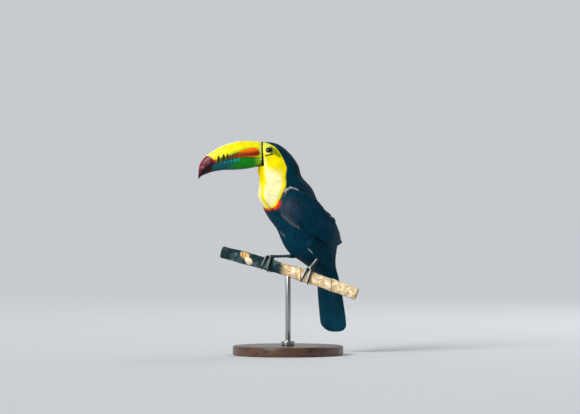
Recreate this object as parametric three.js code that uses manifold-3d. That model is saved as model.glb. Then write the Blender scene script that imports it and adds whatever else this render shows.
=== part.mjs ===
// A keel-billed toucan, life size, perched on a cut length of branch that a plain display stand holds.
// Millimetres, +Z up. The origin is the centre of the stand's underside.
// The branch falls towards +X. The bird looks towards -X, with its breast turned towards -Y.
import * as THREE from "three";
import { mergeVertices } from "three/addons/utils/BufferGeometryUtils.js";
import Module from "manifold-3d";

const wasm = await Module();
wasm.setup();

const V = (x, y, z) => new THREE.Vector3(x, y, z);
const rad = THREE.MathUtils.degToRad;

// ---- Driving dimensions ----

const GAP = 0.3; // clearance between pieces that touch

const BASE_RADIUS = 105;
const BASE_THICKNESS = 18;
const BASE_ROUNDING = 4; // of the upper edge
const BASE_CHAMFER = 1.5; // of the lower edge
const ROD_RADIUS = 5;
const ROD_IN_PERCH = 7;
const COLLAR_RADIUS = 13;
const COLLAR_HEIGHT = 8;
const COLLAR_RIM = 3; // height of its straight edge
const COLLAR_SLOPE = 4; // how far its top is set in

const PERCH_RADIUS = 11.6;
const PERCH_ENDS = [-126, 130];
const PERCH_HEIGHT = 160.5; // of its axis, above the rod
const PERCH_FALL = 0.307; // drop for each millimetre along X
const PERCH_BOW = 0.00025; // extra drop for each square millimetre
const PERCH_SWING = -0.2; // run along Y for each millimetre along X
const LEAF_SCARS = [-86, -31, 24, 82]; // X of the swollen rings where leaves grew

const BILL_LENGTH = 124;
const BILL_HALF_WIDTH = 19.5;
const LOWER_BILL_WIDTH = 0.92; // of the upper's, so that the upper's edges lie outside it
const GAPE = V(-49.2, -5.5, 374.5); // where the mandibles meet, on the midline at the bill's base
const HEAD_YAW = 3; // degrees that the head turns towards -Y from straight along -X

const EYE_RADIUS = 5.5;
const EYE_BEHIND_BILL = 12.2;
const EYE_ABOVE_GAPE = 14.2;
const EYE_OFF_MIDLINE = 19.6;

const TAIL_TIP_HEIGHT = 42;
const TAIL_YAW = 52;

const TOE_RADIUS = 2.9;
const CLAW_RADIUS = 1.7;
const TARSUS_RADIUS = 2.7;

// ---- Making solids ----

// The bird's own directions where it faces yaw degrees from -X towards -Y.
function facing(yaw) {
  const a = rad(yaw);
  return {
    forward: V(-Math.cos(a), -Math.sin(a), 0),
    left: V(Math.sin(a), -Math.cos(a), 0),
  };
}

// A closed skin over sections along a line. A section has a centre (at) and half-axes: side, both ways, up
// and down.
// Round ends close over the shares of the length in caps. Flat ends are cut square.
function loft(sections, { sides = 24, rings = 24, power = 2, caps = [0.5, 0.5], flat = false } = {}) {
  const geometry = new THREE.SphereGeometry(1, sides, rings);
  const position = geometry.getAttribute("position");
  const track = (key) => {
    const points = sections.map((s) => s[key]);
    return new THREE.CatmullRomCurve3(points, false, "catmullrom", 0.5);
  };
  const [centre, side, up, down] = ["at", "side", "up", "down"].map(track);
  const round = (share) => Math.sqrt(Math.max(0, 1 - Math.max(0, 1 - share) ** 2));
  for (let j = 0; j <= rings; j++) {
    const pole = j === 0 || j === rings;
    const t = flat
      ? THREE.MathUtils.clamp((j - 1) / (rings - 2), 0, 1)
      : (1 - Math.cos((Math.PI * j) / rings)) / 2;
    const size = pole ? 0 : flat ? 1 : round(t / caps[0]) * round((1 - t) / caps[1]);
    const [at, s, u, d] = [centre, side, up, down].map((curve) => curve.getPoint(t));
    for (let i = 0; i <= sides; i++) {
      const angle = (2 * Math.PI * (i % sides)) / sides;
      const across = Math.sign(Math.cos(angle)) * Math.abs(Math.cos(angle)) ** (2 / power);
      const rise = Math.abs(Math.sin(angle)) ** (2 / power);
      const point = at
        .clone()
        .addScaledVector(s, across * size)
        .addScaledVector(Math.sin(angle) >= 0 ? u : d, rise * size);
      position.setXYZ(j * (sides + 1) + i, point.x, point.y, point.z);
    }
  }
  return geometry;
}

// The same sections, larger all round, to cut a neighbour back by the gap.
function grown(sections, by) {
  const longer = (v) => (v.length() > 0 ? v.clone().setLength(v.length() + by) : v.clone());
  const last = sections.length - 1;
  return sections.map((s, i) => {
    const next = sections[i === 0 ? 1 : i === last ? last - 1 : i];
    const out = s.at.clone().sub(next.at).setLength(i === 0 || i === last ? by : 0);
    return { at: s.at.clone().add(out), side: longer(s.side), up: longer(s.up), down: longer(s.down) };
  });
}

// Round sections along a path, for the perch, legs, toes and claws.
function along(points, radii, reference = V(0, 0, 1)) {
  const path = new THREE.CatmullRomCurve3(points, false, "catmullrom", 0.5);
  return points.map((at, i) => {
    const tangent = path.getTangent(i / (points.length - 1));
    const side = reference.clone().cross(tangent).normalize();
    const up = tangent.clone().cross(side).normalize();
    const r = radii[i];
    return {
      at,
      side: side.multiplyScalar(r),
      up: up.clone().multiplyScalar(r),
      down: up.clone().multiplyScalar(-r),
    };
  });
}

// A solid that can be cut and joined. One that came out inside out is turned.
function solid(geometry) {
  const bare = new THREE.BufferGeometry();
  bare.setAttribute("position", geometry.getAttribute("position").clone());
  bare.setIndex(geometry.index.clone());
  const merged = mergeVertices(bare, 1e-4);
  const vertProperties = new Float32Array(merged.attributes.position.array);
  const triVerts = new Uint32Array(merged.index.array);
  const made = new wasm.Manifold(new wasm.Mesh({ numProp: 3, vertProperties, triVerts }));
  if (made.volume() > 0) return made;
  return new wasm.Manifold(new wasm.Mesh({ numProp: 3, vertProperties, triVerts: triVerts.reverse() }));
}

function surface(manifold) {
  const mesh = manifold.getMesh();
  const geometry = new THREE.BufferGeometry();
  geometry.setAttribute("position", new THREE.BufferAttribute(new Float32Array(mesh.vertProperties), 3));
  geometry.setIndex(new THREE.BufferAttribute(new Uint32Array(mesh.triVerts), 1));
  geometry.computeVertexNormals();
  return geometry;
}

const loftSolid = (sections, options) => solid(loft(sections, options));

function moved(geometry, object) {
  object.updateWorldMatrix(true, false);
  return geometry.clone().applyMatrix4(object.matrixWorld);
}

function biggest(manifold) {
  return manifold.decompose().sort((a, b) => b.volume() - a.volume())[0];
}

// ---- Materials ----

const finish = (color, roughness, metalness = 0) =>
  new THREE.MeshStandardMaterial({ color, roughness, metalness });

const plumage = finish(0x02303f, 0.55);
const bibYellow = finish(0xf6e417, 0.6);
const billGreen = finish(0x8fbf20, 0.3);
const billTeal = finish(0x0f7c4a, 0.3);
const eyeBlack = finish(0x10201c, 0.08);
const legBlue = finish(0x33505c, 0.55);
const clawDark = finish(0x14181c, 0.35);
const bark = finish(0xd8bf90, 0.85);
const baseWood = finish(0x3b2a20, 0.45);
const rodSteel = finish(0x8d8f92, 0.35, 1);

// ---- The scene graph ----

const part = new THREE.Group();
part.name = "keel_billed_toucan";
const head = new THREE.Group(); // its own axes: +X towards the bill's tip, +Y to the bird's left
head.position.copy(GAPE);
head.rotation.z = rad(180 + HEAD_YAW);
part.add(head);
head.updateWorldMatrix(true, false);

function add(name, geometry, material, group = part) {
  const mesh = new THREE.Mesh(geometry, material);
  mesh.name = name;
  group.add(mesh);
  return mesh;
}

// ---- Perch and stand ----

const perchAxis = (x) =>
  V(x, PERCH_SWING * x, PERCH_HEIGHT - PERCH_FALL * x - PERCH_BOW * x * x);

function perchRadius(x) {
  const swelling = LEAF_SCARS.reduce((sum, scar) => sum + Math.exp(-(((x - scar) / 5) ** 2)), 0);
  return PERCH_RADIUS * (1 + 0.1 * swelling + 0.03 * Math.sin(x / 17));
}

function perchSections() {
  const steps = 34;
  const points = [];
  for (let i = 0; i <= steps; i++)
    points.push(perchAxis(THREE.MathUtils.lerp(PERCH_ENDS[0], PERCH_ENDS[1], i / steps)));
  return along(points, points.map((p) => perchRadius(p.x)));
}

const perchOptions = { sides: 12, rings: 28, flat: true };

function makePerch() {
  const depth = 4 * PERCH_RADIUS;
  const socket = new THREE.CylinderGeometry(ROD_RADIUS + GAP, ROD_RADIUS + GAP, depth, 18);
  socket.rotateX(Math.PI / 2);
  socket.translate(0, 0, rodTop + GAP - depth / 2);
  const made = loftSolid(perchSections(), perchOptions);
  return surface(made.subtract(solid(socket)));
}

const rodTop = perchAxis(0).z - PERCH_RADIUS + ROD_IN_PERCH;

function makeBase() {
  const profile = [
    new THREE.Vector2(0, 0),
    new THREE.Vector2(BASE_RADIUS - BASE_CHAMFER, 0),
    new THREE.Vector2(BASE_RADIUS, BASE_CHAMFER),
  ];
  const corners = 3;
  for (let i = 0; i <= corners; i++) {
    const a = (Math.PI / 2) * (i / corners);
    const radius = BASE_RADIUS + BASE_ROUNDING * (Math.cos(a) - 1);
    profile.push(new THREE.Vector2(radius, BASE_THICKNESS + BASE_ROUNDING * (Math.sin(a) - 1)));
  }
  profile.push(new THREE.Vector2(0, BASE_THICKNESS));
  const geometry = new THREE.LatheGeometry(profile, 36);
  geometry.rotateX(Math.PI / 2);
  return geometry;
}

function makeCollar() {
  const inner = ROD_RADIUS + GAP;
  const profile = [
    [inner, 0],
    [COLLAR_RADIUS, 0],
    [COLLAR_RADIUS, COLLAR_RIM],
    [COLLAR_RADIUS - COLLAR_SLOPE, COLLAR_HEIGHT],
    [inner, COLLAR_HEIGHT],
    [inner, 0],
  ].map(([x, y]) => new THREE.Vector2(x, y));
  const geometry = new THREE.LatheGeometry(profile, 18);
  geometry.rotateX(Math.PI / 2);
  return geometry;
}

function makeRod() {
  const bottom = BASE_THICKNESS + GAP;
  const geometry = new THREE.CylinderGeometry(ROD_RADIUS, ROD_RADIUS, rodTop - bottom, 18);
  geometry.rotateX(Math.PI / 2);
  geometry.translate(0, 0, (rodTop + bottom) / 2);
  return geometry;
}

// ---- Bill, in the head's axes ----

// Each section runs from the cutting edge to the culmen above, or to the keel below, as shares of the bill's
// length.
const BILL_SECTIONS = [
  // edge x, edge z, culmen x, culmen z, keel x, keel z, half-width share
  [-0.03, 0.0, -0.03, 0.24, -0.03, -0.122, 1.02],
  [0.09, 0.0, 0.09, 0.255, 0.08, -0.138, 1.0],
  [0.25, 0.0, 0.245, 0.262, 0.24, -0.168, 0.93],
  [0.42, -0.02, 0.42, 0.246, 0.41, -0.184, 0.83],
  [0.58, -0.055, 0.6, 0.19, 0.58, -0.189, 0.69],
  [0.73, -0.108, 0.775, 0.09, 0.74, -0.21, 0.53],
  [0.85, -0.178, 0.905, -0.02, 0.86, -0.25, 0.37],
  [0.93, -0.252, 0.975, -0.13, 0.925, -0.286, 0.22],
  [0.975, -0.33, 0.995, -0.29, 0.965, -0.322, 0.08],
];

function billSections(upper) {
  return BILL_SECTIONS.map(([ex, ez, cx, cz, kx, kz, wide]) => {
    const edge = V(ex, 0, ez).multiplyScalar(BILL_LENGTH);
    edge.z += upper ? GAP / 2 : -GAP / 2;
    const far = (upper ? V(cx, 0, cz) : V(kx, 0, kz)).multiplyScalar(BILL_LENGTH);
    const width = BILL_HALF_WIDTH * wide * (upper ? 1 : LOWER_BILL_WIDTH);
    return { at: edge, side: V(0, width, 0), up: far.sub(edge), down: V(0, 0, 0) };
  });
}

const billOptions = (upper) => ({
  sides: 16,
  rings: 16,
  power: upper ? 2.15 : 2.4,
  caps: [0.001, 0.3],
});

// ---- Head, neck and trunk: one whole, parted afterwards ----

// Sections across the body from the bill's base to the tail's root: the centre's height, x and y, the yaw,
// the half-sizes ahead, behind and to each side, and the degrees by which the section's back is tipped up.
const BODY_SECTIONS = {
  billBase: [383, -49.5, -5.7, 3, 21.5, 21.5, 20, 93],
  brow: [381.5, -42.5, -5.7, 3, 24.4, 24.2, 23.3, 72],
  crown: [377, -34, -5.7, 4, 28.6, 28.6, 25, 50],
  nape: [366.5, -25, -5.6, 6, 33, 33.5, 26.2, 28],
  throat: [353.5, -18, -5.2, 11, 39, 38.5, 28.5, 11],
  collar: [339, -14, -4.5, 18, 41, 41, 32, 0],
  shoulders: [319, -4, -1.5, 30, 55, 51, 37, 0],
  breast: [300, 0, 1, 35, 62, 58, 41.5, 0],
  ribs: [272, 12, 10, 38, 58, 59, 43.5, 0],
  midriff: [240, 31, 24.5, 40, 59, 59, 42.5, 0],
  belly: [210, 43, 34.5, 42, 60, 58, 39, 0],
  lowerBelly: [192, 49, 40, 44, 53, 49, 34, 0],
  vent: [178, 58, 48.5, 46, 40, 37, 29, 0],
  tailCoverts: [163, 68, 58.5, 48, 24, 22, 26.5, 0],
  tailRoot: [148, 75, 65.5, 50, 13, 13, 25, 0],
  covertTips: [134, 78, 68.5, 51, 9, 9, 23, 0],
};

function acrossBody([z, x, y, yaw, ahead, behind, wide, tip = 0]) {
  const { forward, left } = facing(yaw);
  const back = forward.multiplyScalar(-Math.cos(rad(tip))).setZ(Math.sin(rad(tip)));
  return {
    at: V(x, y, z),
    side: left.multiplyScalar(wide),
    up: back.clone().multiplyScalar(behind),
    down: back.clone().multiplyScalar(-ahead),
  };
}

const bodySections = Object.values(BODY_SECTIONS).map(acrossBody);
const bodyOptions = { sides: 24, rings: 38, power: 2.1, caps: [0.035, 0.08] };
const wholeBody = (by) => loftSolid(grown(bodySections, by), bodyOptions);

// A thin slab through a point, tipped so that it rises towards +X by slope.
function cut(x, z, slope) {
  const slab = new THREE.BoxGeometry(400, 400, GAP);
  slab.rotateY(-Math.atan(slope));
  slab.translate(x, 0, z);
  return solid(slab);
}

// ---- Wings ----

// Sections of the folded left wing from its bend to its tip, placed from the pelvis. An outer face at 0
// degrees looks ahead, at 90 sideways and at 180 back.
const WING_YAW = 40;
const PELVIS = V(43, 34.5, 0);
const WING_SECTIONS = [
  // height, ahead, off the midline, direction of the outer face, half-width, half-thickness
  [304, 90, 30, 62, 12, 8],
  [293, 73, 36, 76, 23, 9],
  [274, 43, 40, 86, 30, 9.5],
  [251, 14, 41, 95, 28.5, 9],
  [234, -16, 37, 107, 26.5, 8],
  [221, -41, 28, 120, 20, 6],
  [212, -60, 19, 130, 13, 3.6],
  [206, -69, 14, 136, 6, 2],
];

// mirror is 1 for the left wing and -1 for the right.
function wingSections(mirror) {
  const { forward, left } = facing(WING_YAW);
  const centres = WING_SECTIONS.map(([z, ahead, off]) =>
    PELVIS.clone().addScaledVector(forward, ahead).addScaledVector(left, off * mirror).setZ(z),
  );
  const path = new THREE.CatmullRomCurve3(centres, false, "catmullrom", 0.5);
  return WING_SECTIONS.map(([, , , face, wide, thick], i) => {
    const a = rad(face);
    const out = forward
      .clone()
      .multiplyScalar(Math.cos(a))
      .addScaledVector(left, Math.sin(a) * mirror);
    const tangent = path.getTangent(i / (centres.length - 1));
    out.addScaledVector(tangent, -out.dot(tangent)).normalize();
    const side = tangent.clone().cross(out);
    return {
      at: centres[i],
      side: side.multiplyScalar(wide),
      up: out.clone().multiplyScalar(thick),
      down: out.clone().multiplyScalar(-thick),
    };
  });
}

const wingOptions = { sides: 14, rings: 16, power: 2.2, caps: [0.16, 0.06] };

// A block that holds everything on one side of the bird's midline, less half a gap.
function sideOfBird(mirror) {
  const { forward, left } = facing(WING_YAW);
  const reach = 300;
  const block = new THREE.BoxGeometry(2 * reach, reach, 2 * reach);
  const centre = PELVIS.clone().addScaledVector(left, (mirror * (reach + GAP)) / 2).setZ(reach);
  const up = forward.clone().cross(left);
  block.applyMatrix4(new THREE.Matrix4().makeBasis(forward, left, up).setPosition(centre));
  return solid(block);
}

// ---- Tail ----

// Height, centre x and y, half-width, half-thickness.
const TAIL_SECTIONS = [
  [190, 66, 56, 20, 7],
  [165, 72.5, 62, 24.5, 7],
  [142, 77, 66.5, 26.5, 6.2],
  [116, 80.5, 70, 28.4, 5],
  [90, 83.5, 73.5, 30, 4],
  [66, 86.5, 76.5, 31.2, 3.2],
  [TAIL_TIP_HEIGHT, 88.5, 79, 31, 2.6],
];

function tailSections() {
  return TAIL_SECTIONS.map(([z, x, y, wide, thick]) => acrossBody([z, x, y, TAIL_YAW, thick, thick, wide]));
}

const tailOptions = { sides: 14, rings: 12, power: 2.4, caps: [0.1, 0.09] };

// ---- Legs ----

// The frame round the perch at x: its axis point, the way along it, straight out of its top, and towards -Y.
function perchFrame(x) {
  const step = 0.5;
  const run = perchAxis(x + step).sub(perchAxis(x - step)).normalize();
  const front = V(0, 0, 1).cross(run).normalize().negate();
  const top = run.clone().cross(front).normalize().negate();
  if (top.z < 0) top.negate();
  return { axis: perchAxis(x), run, top, front };
}

const LEGS = {
  left: { footX: 37, ankle: V(58, 15, 184), knee: V(34, -9, 226), kneeRadius: 25 },
  right: { footX: -39, ankle: V(8, 15, 188), knee: V(28, 30, 206), kneeRadius: 19 },
};

function footPad(leg) {
  const { axis, top } = perchFrame(leg.footX);
  return axis.clone().addScaledVector(top, perchRadius(leg.footX) + TOE_RADIUS + GAP + 0.6);
}

function thighSections(leg) {
  const middle = leg.knee.clone().lerp(leg.ankle, 0.5);
  const beyond = leg.ankle.clone().addScaledVector(leg.ankle.clone().sub(leg.knee).normalize(), 2);
  return along([leg.knee, middle, leg.ankle, beyond], [leg.kneeRadius, 13.5, 5.4, 4.2]);
}

function tarsusSections(leg) {
  const pad = footPad(leg);
  const at = (share) => leg.ankle.clone().lerp(pad, share);
  const radii = [3.4, TARSUS_RADIUS, TARSUS_RADIUS * 0.94, TARSUS_RADIUS, 3.6];
  return along([at(0), at(0.2), at(0.55), at(0.85), at(1.04)], radii);
}

// Two toes grip over the front of the perch and two over the back. shift moves a toe's root along the perch,
// splay carries its tip further along, and reach is the angle round the perch that it covers, in degrees.
const TOES = {
  inner_front: { way: 1, shift: -3.2, splay: -2.0, reach: 112 },
  outer_front: { way: 1, shift: 3.4, splay: 1.5, reach: 126 },
  inner_back: { way: -1, shift: -3.0, splay: -2.5, reach: 96 },
  outer_back: { way: -1, shift: 3.4, splay: 3.0, reach: 118 },
};

function gripPoint(leg, toe, angle, height) {
  const x = leg.footX + toe.shift + toe.splay * (angle / 90);
  const { axis, top, front } = perchFrame(x);
  const a = rad(angle);
  return axis
    .addScaledVector(top, Math.cos(a) * (perchRadius(x) + height))
    .addScaledVector(front, Math.sin(a) * toe.way * (perchRadius(x) + height));
}

function toeSections(leg, toe) {
  const steps = 8;
  const points = [];
  const radii = [];
  for (let i = 0; i <= steps; i++) {
    const share = i / steps;
    const angle = THREE.MathUtils.lerp(6, toe.reach, share);
    const knuckle = 0.07 * Math.cos(share * 3 * 2 * Math.PI);
    const r = TOE_RADIUS * (1 - 0.22 * share + knuckle);
    points.push(gripPoint(leg, toe, angle, r + GAP));
    radii.push(r);
  }
  return along(points, radii, perchFrame(leg.footX).run);
}

function clawSections(leg, toe) {
  const steps = 4;
  const points = [];
  const radii = [];
  for (let i = 0; i <= steps; i++) {
    const share = i / steps;
    const angle = toe.reach - 3 + 40 * share;
    const lift = 2.2 + 2.6 * Math.sin(share * Math.PI * 0.75) - 1.6 * share;
    points.push(gripPoint(leg, toe, angle, lift));
    radii.push(CLAW_RADIUS * (1 - 0.75 * share));
  }
  return along(points, radii, perchFrame(leg.footX).run);
}

// ---- Assembly ----

const SIDES = { left: 1, right: -1 };

add("stand_base", makeBase(), baseWood);
add("stand_collar", makeCollar(), rodSteel).position.z = BASE_THICKNESS + GAP;
add("stand_rod", makeRod(), rodSteel);
add("perch", makePerch(), bark);
const grownPerch = loftSolid(grown(perchSections(), GAP / 2), perchOptions);

add("bill_upper", surface(loftSolid(billSections(true), billOptions(true))), billGreen, head);
add("bill_lower", surface(loftSolid(billSections(false), billOptions(false))), billTeal, head);

const eyeball = (by) => new THREE.SphereGeometry(EYE_RADIUS + by, 12, 8);
let whole = wholeBody(0);
for (const [side, mirror] of Object.entries(SIDES)) {
  const eye = add("eye_" + side, eyeball(0), eyeBlack, head);
  eye.position.set(-EYE_BEHIND_BILL, mirror * EYE_OFF_MIDLINE, EYE_ABOVE_GAPE);
  whole = whole.subtract(solid(moved(eyeball(GAP), eye)));
}
for (const upper of [true, false]) {
  const billRoot = loft(grown(billSections(upper), GAP), billOptions(upper));
  whole = whole.subtract(solid(moved(billRoot, head)));
}

const bodyParts = whole
  .subtract(cut(-56, 350, 0.14))
  .subtract(cut(-58, 304, 0.17))
  .decompose()
  .sort((a, b) => b.volume() - a.volume())
  .slice(0, 3)
  .sort((a, b) => b.boundingBox().max[2] - a.boundingBox().max[2]);
add("head", surface(bodyParts[0]), bibYellow);
add("neck", surface(bodyParts[1]), bibYellow);
add("trunk", surface(bodyParts[2]), plumage);

const grownBody = wholeBody(GAP);
let taken = grownBody;
for (const [side, mirror] of Object.entries(SIDES)) {
  const blank = loftSolid(wingSections(mirror), wingOptions).intersect(sideOfBird(mirror));
  add("wing_" + side, surface(biggest(blank.subtract(grownBody))), plumage);
  taken = taken.add(loftSolid(grown(wingSections(mirror), GAP), wingOptions));
}

add("tail", surface(biggest(loftSolid(tailSections(), tailOptions).subtract(taken))), plumage);

const thighOptions = { sides: 14, rings: 12, caps: [0.45, 0.1] };
const tarsusOptions = { sides: 8, rings: 8, caps: [0.06, 0.08] };
const toeOptions = { sides: 7, rings: 10, caps: [0.08, 0.06] };
const clawOptions = { sides: 6, rings: 6, caps: [0.1, 0.06] };
for (const [side, leg] of Object.entries(LEGS)) {
  const thigh = loftSolid(thighSections(leg), thighOptions).subtract(taken);
  add("thigh_" + side, surface(biggest(thigh)), plumage);
  const grownThigh = loftSolid(grown(thighSections(leg), GAP), thighOptions);
  const tarsus = loftSolid(tarsusSections(leg), tarsusOptions).subtract(grownThigh).subtract(grownPerch);
  add("tarsus_" + side, surface(biggest(tarsus.subtract(taken))), legBlue);
  let footTaken = loftSolid(grown(tarsusSections(leg), GAP), tarsusOptions).add(grownPerch);
  for (const [name, toe] of Object.entries(TOES)) {
    const grownToe = loftSolid(grown(toeSections(leg, toe), GAP), toeOptions);
    const toeSolid = loftSolid(toeSections(leg, toe), toeOptions).subtract(footTaken);
    add(`toe_${side}_${name}`, surface(biggest(toeSolid)), legBlue);
    const claw = loftSolid(clawSections(leg, toe), clawOptions).subtract(grownToe).subtract(grownPerch);
    add(`claw_${side}_${name}`, surface(biggest(claw)), clawDark);
    footTaken = footTaken.add(grownToe);
  }
}

export default part;
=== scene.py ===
import math

import bpy
import numpy as np
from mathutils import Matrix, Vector, kdtree
from mathutils.bvhtree import BVHTree


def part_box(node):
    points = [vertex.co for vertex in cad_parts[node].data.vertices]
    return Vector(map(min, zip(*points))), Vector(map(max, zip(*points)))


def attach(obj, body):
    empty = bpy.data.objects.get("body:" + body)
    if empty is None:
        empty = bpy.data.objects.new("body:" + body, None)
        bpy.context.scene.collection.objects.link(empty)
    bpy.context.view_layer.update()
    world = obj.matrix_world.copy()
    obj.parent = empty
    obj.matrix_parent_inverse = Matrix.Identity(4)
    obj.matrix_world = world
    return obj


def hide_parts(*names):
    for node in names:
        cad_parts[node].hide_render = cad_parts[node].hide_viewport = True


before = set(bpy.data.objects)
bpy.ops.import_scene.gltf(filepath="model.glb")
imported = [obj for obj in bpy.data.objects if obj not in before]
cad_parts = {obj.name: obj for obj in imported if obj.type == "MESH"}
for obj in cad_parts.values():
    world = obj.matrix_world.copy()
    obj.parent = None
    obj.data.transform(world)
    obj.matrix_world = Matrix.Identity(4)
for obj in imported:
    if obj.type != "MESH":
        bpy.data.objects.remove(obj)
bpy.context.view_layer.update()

# A life-size keel-billed toucan on a cut length of branch, held by a plain display stand.
# Metres, +Z up. The tables of the bird's form are in millimetres, like the solids that they follow.
# The bird looks towards -X with its breast turned towards -Y.

MM = 0.001
rng = np.random.default_rng(7)

# ---- Driving dimensions (millimetres, degrees) ----

GAPE = np.array([-49.2, -5.5, 374.5])  # where the mandibles meet at the bill's base
HEAD_YAW = 3
BILL_LENGTH = 124
BILL_HALF_WIDTH = 19.5
LOWER_BILL_WIDTH = 0.92
EYE_CENTRE = (-12.2, 19.6, 14.2)  # in the head's axes, on the left
EYE_RADIUS = 5.5
CHIN = (0.0, 0.0, -19.0)  # in the head's axes
CHIN_RADIUS = 5.6
TAIL_YAW = 52
WING_YAW = 40
PELVIS = np.array([43, 34.5, 0])
PERCH_RADIUS = 11.6
PERCH_ENDS = (-126, 130)
PERCH_HEIGHT = 160.5
PERCH_FALL = 0.307
PERCH_BOW = 0.00025
PERCH_SWING = -0.2
LEAF_SCARS = (-86, -31, 24, 82)
TOE_RADIUS = 2.9
CLAW_RADIUS = 1.7
TARSUS_RADIUS = 2.7
CAMERA_DISTANCE = 6.0  # metres from the rod
CAMERA_AIM = (0.0038, 0.2812)  # x and z of the view's centre, in metres
VIEW_WIDTH = 1.102  # metres across at the rod

# Sections across the body: centre's height, x and y, yaw, half-sizes ahead, behind and sideways, tip.
BODY_SECTIONS = {
    "bill_base": (383, -49.5, -5.7, 3, 21.5, 21.5, 20, 93),
    "brow": (381.5, -42.5, -5.7, 3, 24.4, 24.2, 23.3, 72),
    "crown": (377, -34, -5.7, 4, 28.6, 28.6, 25, 50),
    "nape": (366.5, -25, -5.6, 6, 33, 33.5, 26.2, 28),
    "throat": (353.5, -18, -5.2, 11, 39, 38.5, 28.5, 11),
    "collar": (339, -14, -4.5, 18, 41, 41, 32, 0),
    "shoulders": (319, -4, -1.5, 30, 55, 51, 37, 0),
    "breast": (300, 0, 1, 35, 62, 58, 41.5, 0),
    "ribs": (272, 12, 10, 38, 58, 59, 43.5, 0),
    "midriff": (240, 31, 24.5, 40, 59, 59, 42.5, 0),
    "belly": (210, 43, 34.5, 42, 60, 58, 39, 0),
    "lower_belly": (192, 49, 40, 44, 53, 49, 34, 0),
    "vent": (178, 58, 48.5, 46, 40, 37, 29, 0),
    "tail_coverts": (163, 68, 58.5, 48, 24, 22, 26.5, 0),
    "tail_root": (148, 75, 65.5, 50, 13, 13, 25, 0),
    "covert_tips": (134, 78, 68.5, 51, 9, 9, 23, 0),
}
STATIONS = {name: i / (len(BODY_SECTIONS) - 1) for i, name in enumerate(BODY_SECTIONS)}

# Half the angle that the yellow bib takes up round the front, where the body has these sections.
BIB_ANGLES = {
    "bill_base": 172, "brow": 147, "crown": 128, "nape": 115, "throat": 105,
    "collar": 90, "shoulders": 69, "breast": 52,
}
# The same lower down: share along the body and half-angle.
BIB_FOOT = ((0.495, 38), (0.505, 32), (0.512, 25), (0.518, 16))
BIB_END = 0.5215  # how far down the body the bib reaches, as a share of it

# The folded left wing: height, ahead of the pelvis, off the midline, its outer face's direction,
# half-width and half-thickness.
WING_SECTIONS = (
    (304, 90, 30, 62, 12, 8),
    (293, 73, 36, 76, 23, 9),
    (274, 43, 40, 86, 30, 9.5),
    (251, 14, 41, 95, 28.5, 9),
    (234, -16, 37, 107, 26.5, 8),
    (221, -41, 28, 120, 20, 6),
    (212, -60, 19, 130, 13, 3.6),
    (206, -69, 14, 136, 6, 2),
)

# The tail: height, x, y, half-width and half-thickness.
TAIL_SECTIONS = (
    (190, 66, 56, 20, 7),
    (165, 72.5, 62, 24.5, 7),
    (142, 77, 66.5, 26.5, 6.2),
    (116, 80.5, 70, 28.4, 5),
    (90, 83.5, 73.5, 30, 4),
    (66, 86.5, 76.5, 31.2, 3.2),
    (42, 88.5, 79, 31, 2.6),
)

# The bill, in shares of its length: cutting edge x and z, culmen x and z, keel x and z, width.
BILL_SECTIONS = (
    (-0.03, 0.0, -0.03, 0.24, -0.03, -0.122, 1.02),
    (0.09, 0.0, 0.09, 0.255, 0.08, -0.138, 1.0),
    (0.25, 0.0, 0.245, 0.262, 0.24, -0.168, 0.93),
    (0.42, -0.02, 0.42, 0.246, 0.41, -0.184, 0.83),
    (0.58, -0.055, 0.6, 0.19, 0.58, -0.189, 0.69),
    (0.73, -0.108, 0.775, 0.09, 0.74, -0.21, 0.53),
    (0.85, -0.178, 0.905, -0.02, 0.86, -0.25, 0.37),
    (0.93, -0.252, 0.975, -0.13, 0.925, -0.286, 0.22),
    (0.975, -0.33, 0.995, -0.29, 0.965, -0.322, 0.08),
)

LEGS = {
    "left": {"foot_x": 37, "ankle": (58, 15, 184), "knee": (34, -9, 226), "knee_radius": 25},
    "right": {"foot_x": -39, "ankle": (8, 15, 188), "knee": (28, 30, 206), "knee_radius": 19},
}
TOES = {
    "inner_front": {"way": 1, "shift": -3.2, "splay": -2.0, "reach": 112},
    "outer_front": {"way": 1, "shift": 3.4, "splay": 1.5, "reach": 126},
    "inner_back": {"way": -1, "shift": -3.0, "splay": -2.5, "reach": 96},
    "outer_back": {"way": -1, "shift": 3.4, "splay": 3.0, "reach": 118},
}


# ---- Small mathematics ----

def smooth(low, high, x):
    """0 below low, 1 above high, and an even turn between."""
    share = np.clip((np.asarray(x, float) - low) / (high - low), 0, 1)
    return share * share * (3 - 2 * share)


def mix(a, b, share):
    """Colours or numbers from a to b, row by row."""
    share = np.asarray(share, float)
    if np.ndim(a) == 2 or np.ndim(b) == 2 or share.ndim == 1 and np.ndim(a) == 1:
        share = share[..., None]
    return np.asarray(a) * (1 - share) + np.asarray(b) * share


def unit(v):
    return v / np.maximum(np.linalg.norm(v, axis=-1, keepdims=True), 1e-12)


def linear(r, g, b):
    """A colour as a screen shows it, 0 to 255, turned into light."""
    c = np.array([r, g, b], float) / 255
    return np.where(c <= 0.04045, c / 12.92, ((c + 0.055) / 1.055) ** 2.4)


def curve(points, t):
    """Points along an even Catmull-Rom curve through the rows of points, at shares t of it."""
    p = np.asarray(points, float)
    p = np.concatenate([2 * p[:1] - p[1:2], p, 2 * p[-1:] - p[-2:-1]])
    at = np.clip(np.asarray(t, float), 0, 1) * (len(p) - 3)
    i = np.minimum(at.astype(int), len(p) - 4)
    w = (at - i)[..., None]
    a, b, c, d = p[i], p[i + 1], p[i + 2], p[i + 3]
    m, n = (c - a) / 2, (d - b) / 2
    return (2 * b - 2 * c + m + n) * w**3 + (3 * c - 3 * b - 2 * m - n) * w**2 + m * w + b


def facing(yaw):
    """Forward and left for a bird that faces yaw degrees from -X towards -Y."""
    a = np.radians(yaw)
    zero = np.zeros_like(a)
    forward = np.stack([-np.cos(a), -np.sin(a), zero], -1)
    left = np.stack([np.sin(a), -np.cos(a), zero], -1)
    return forward, left


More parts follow.
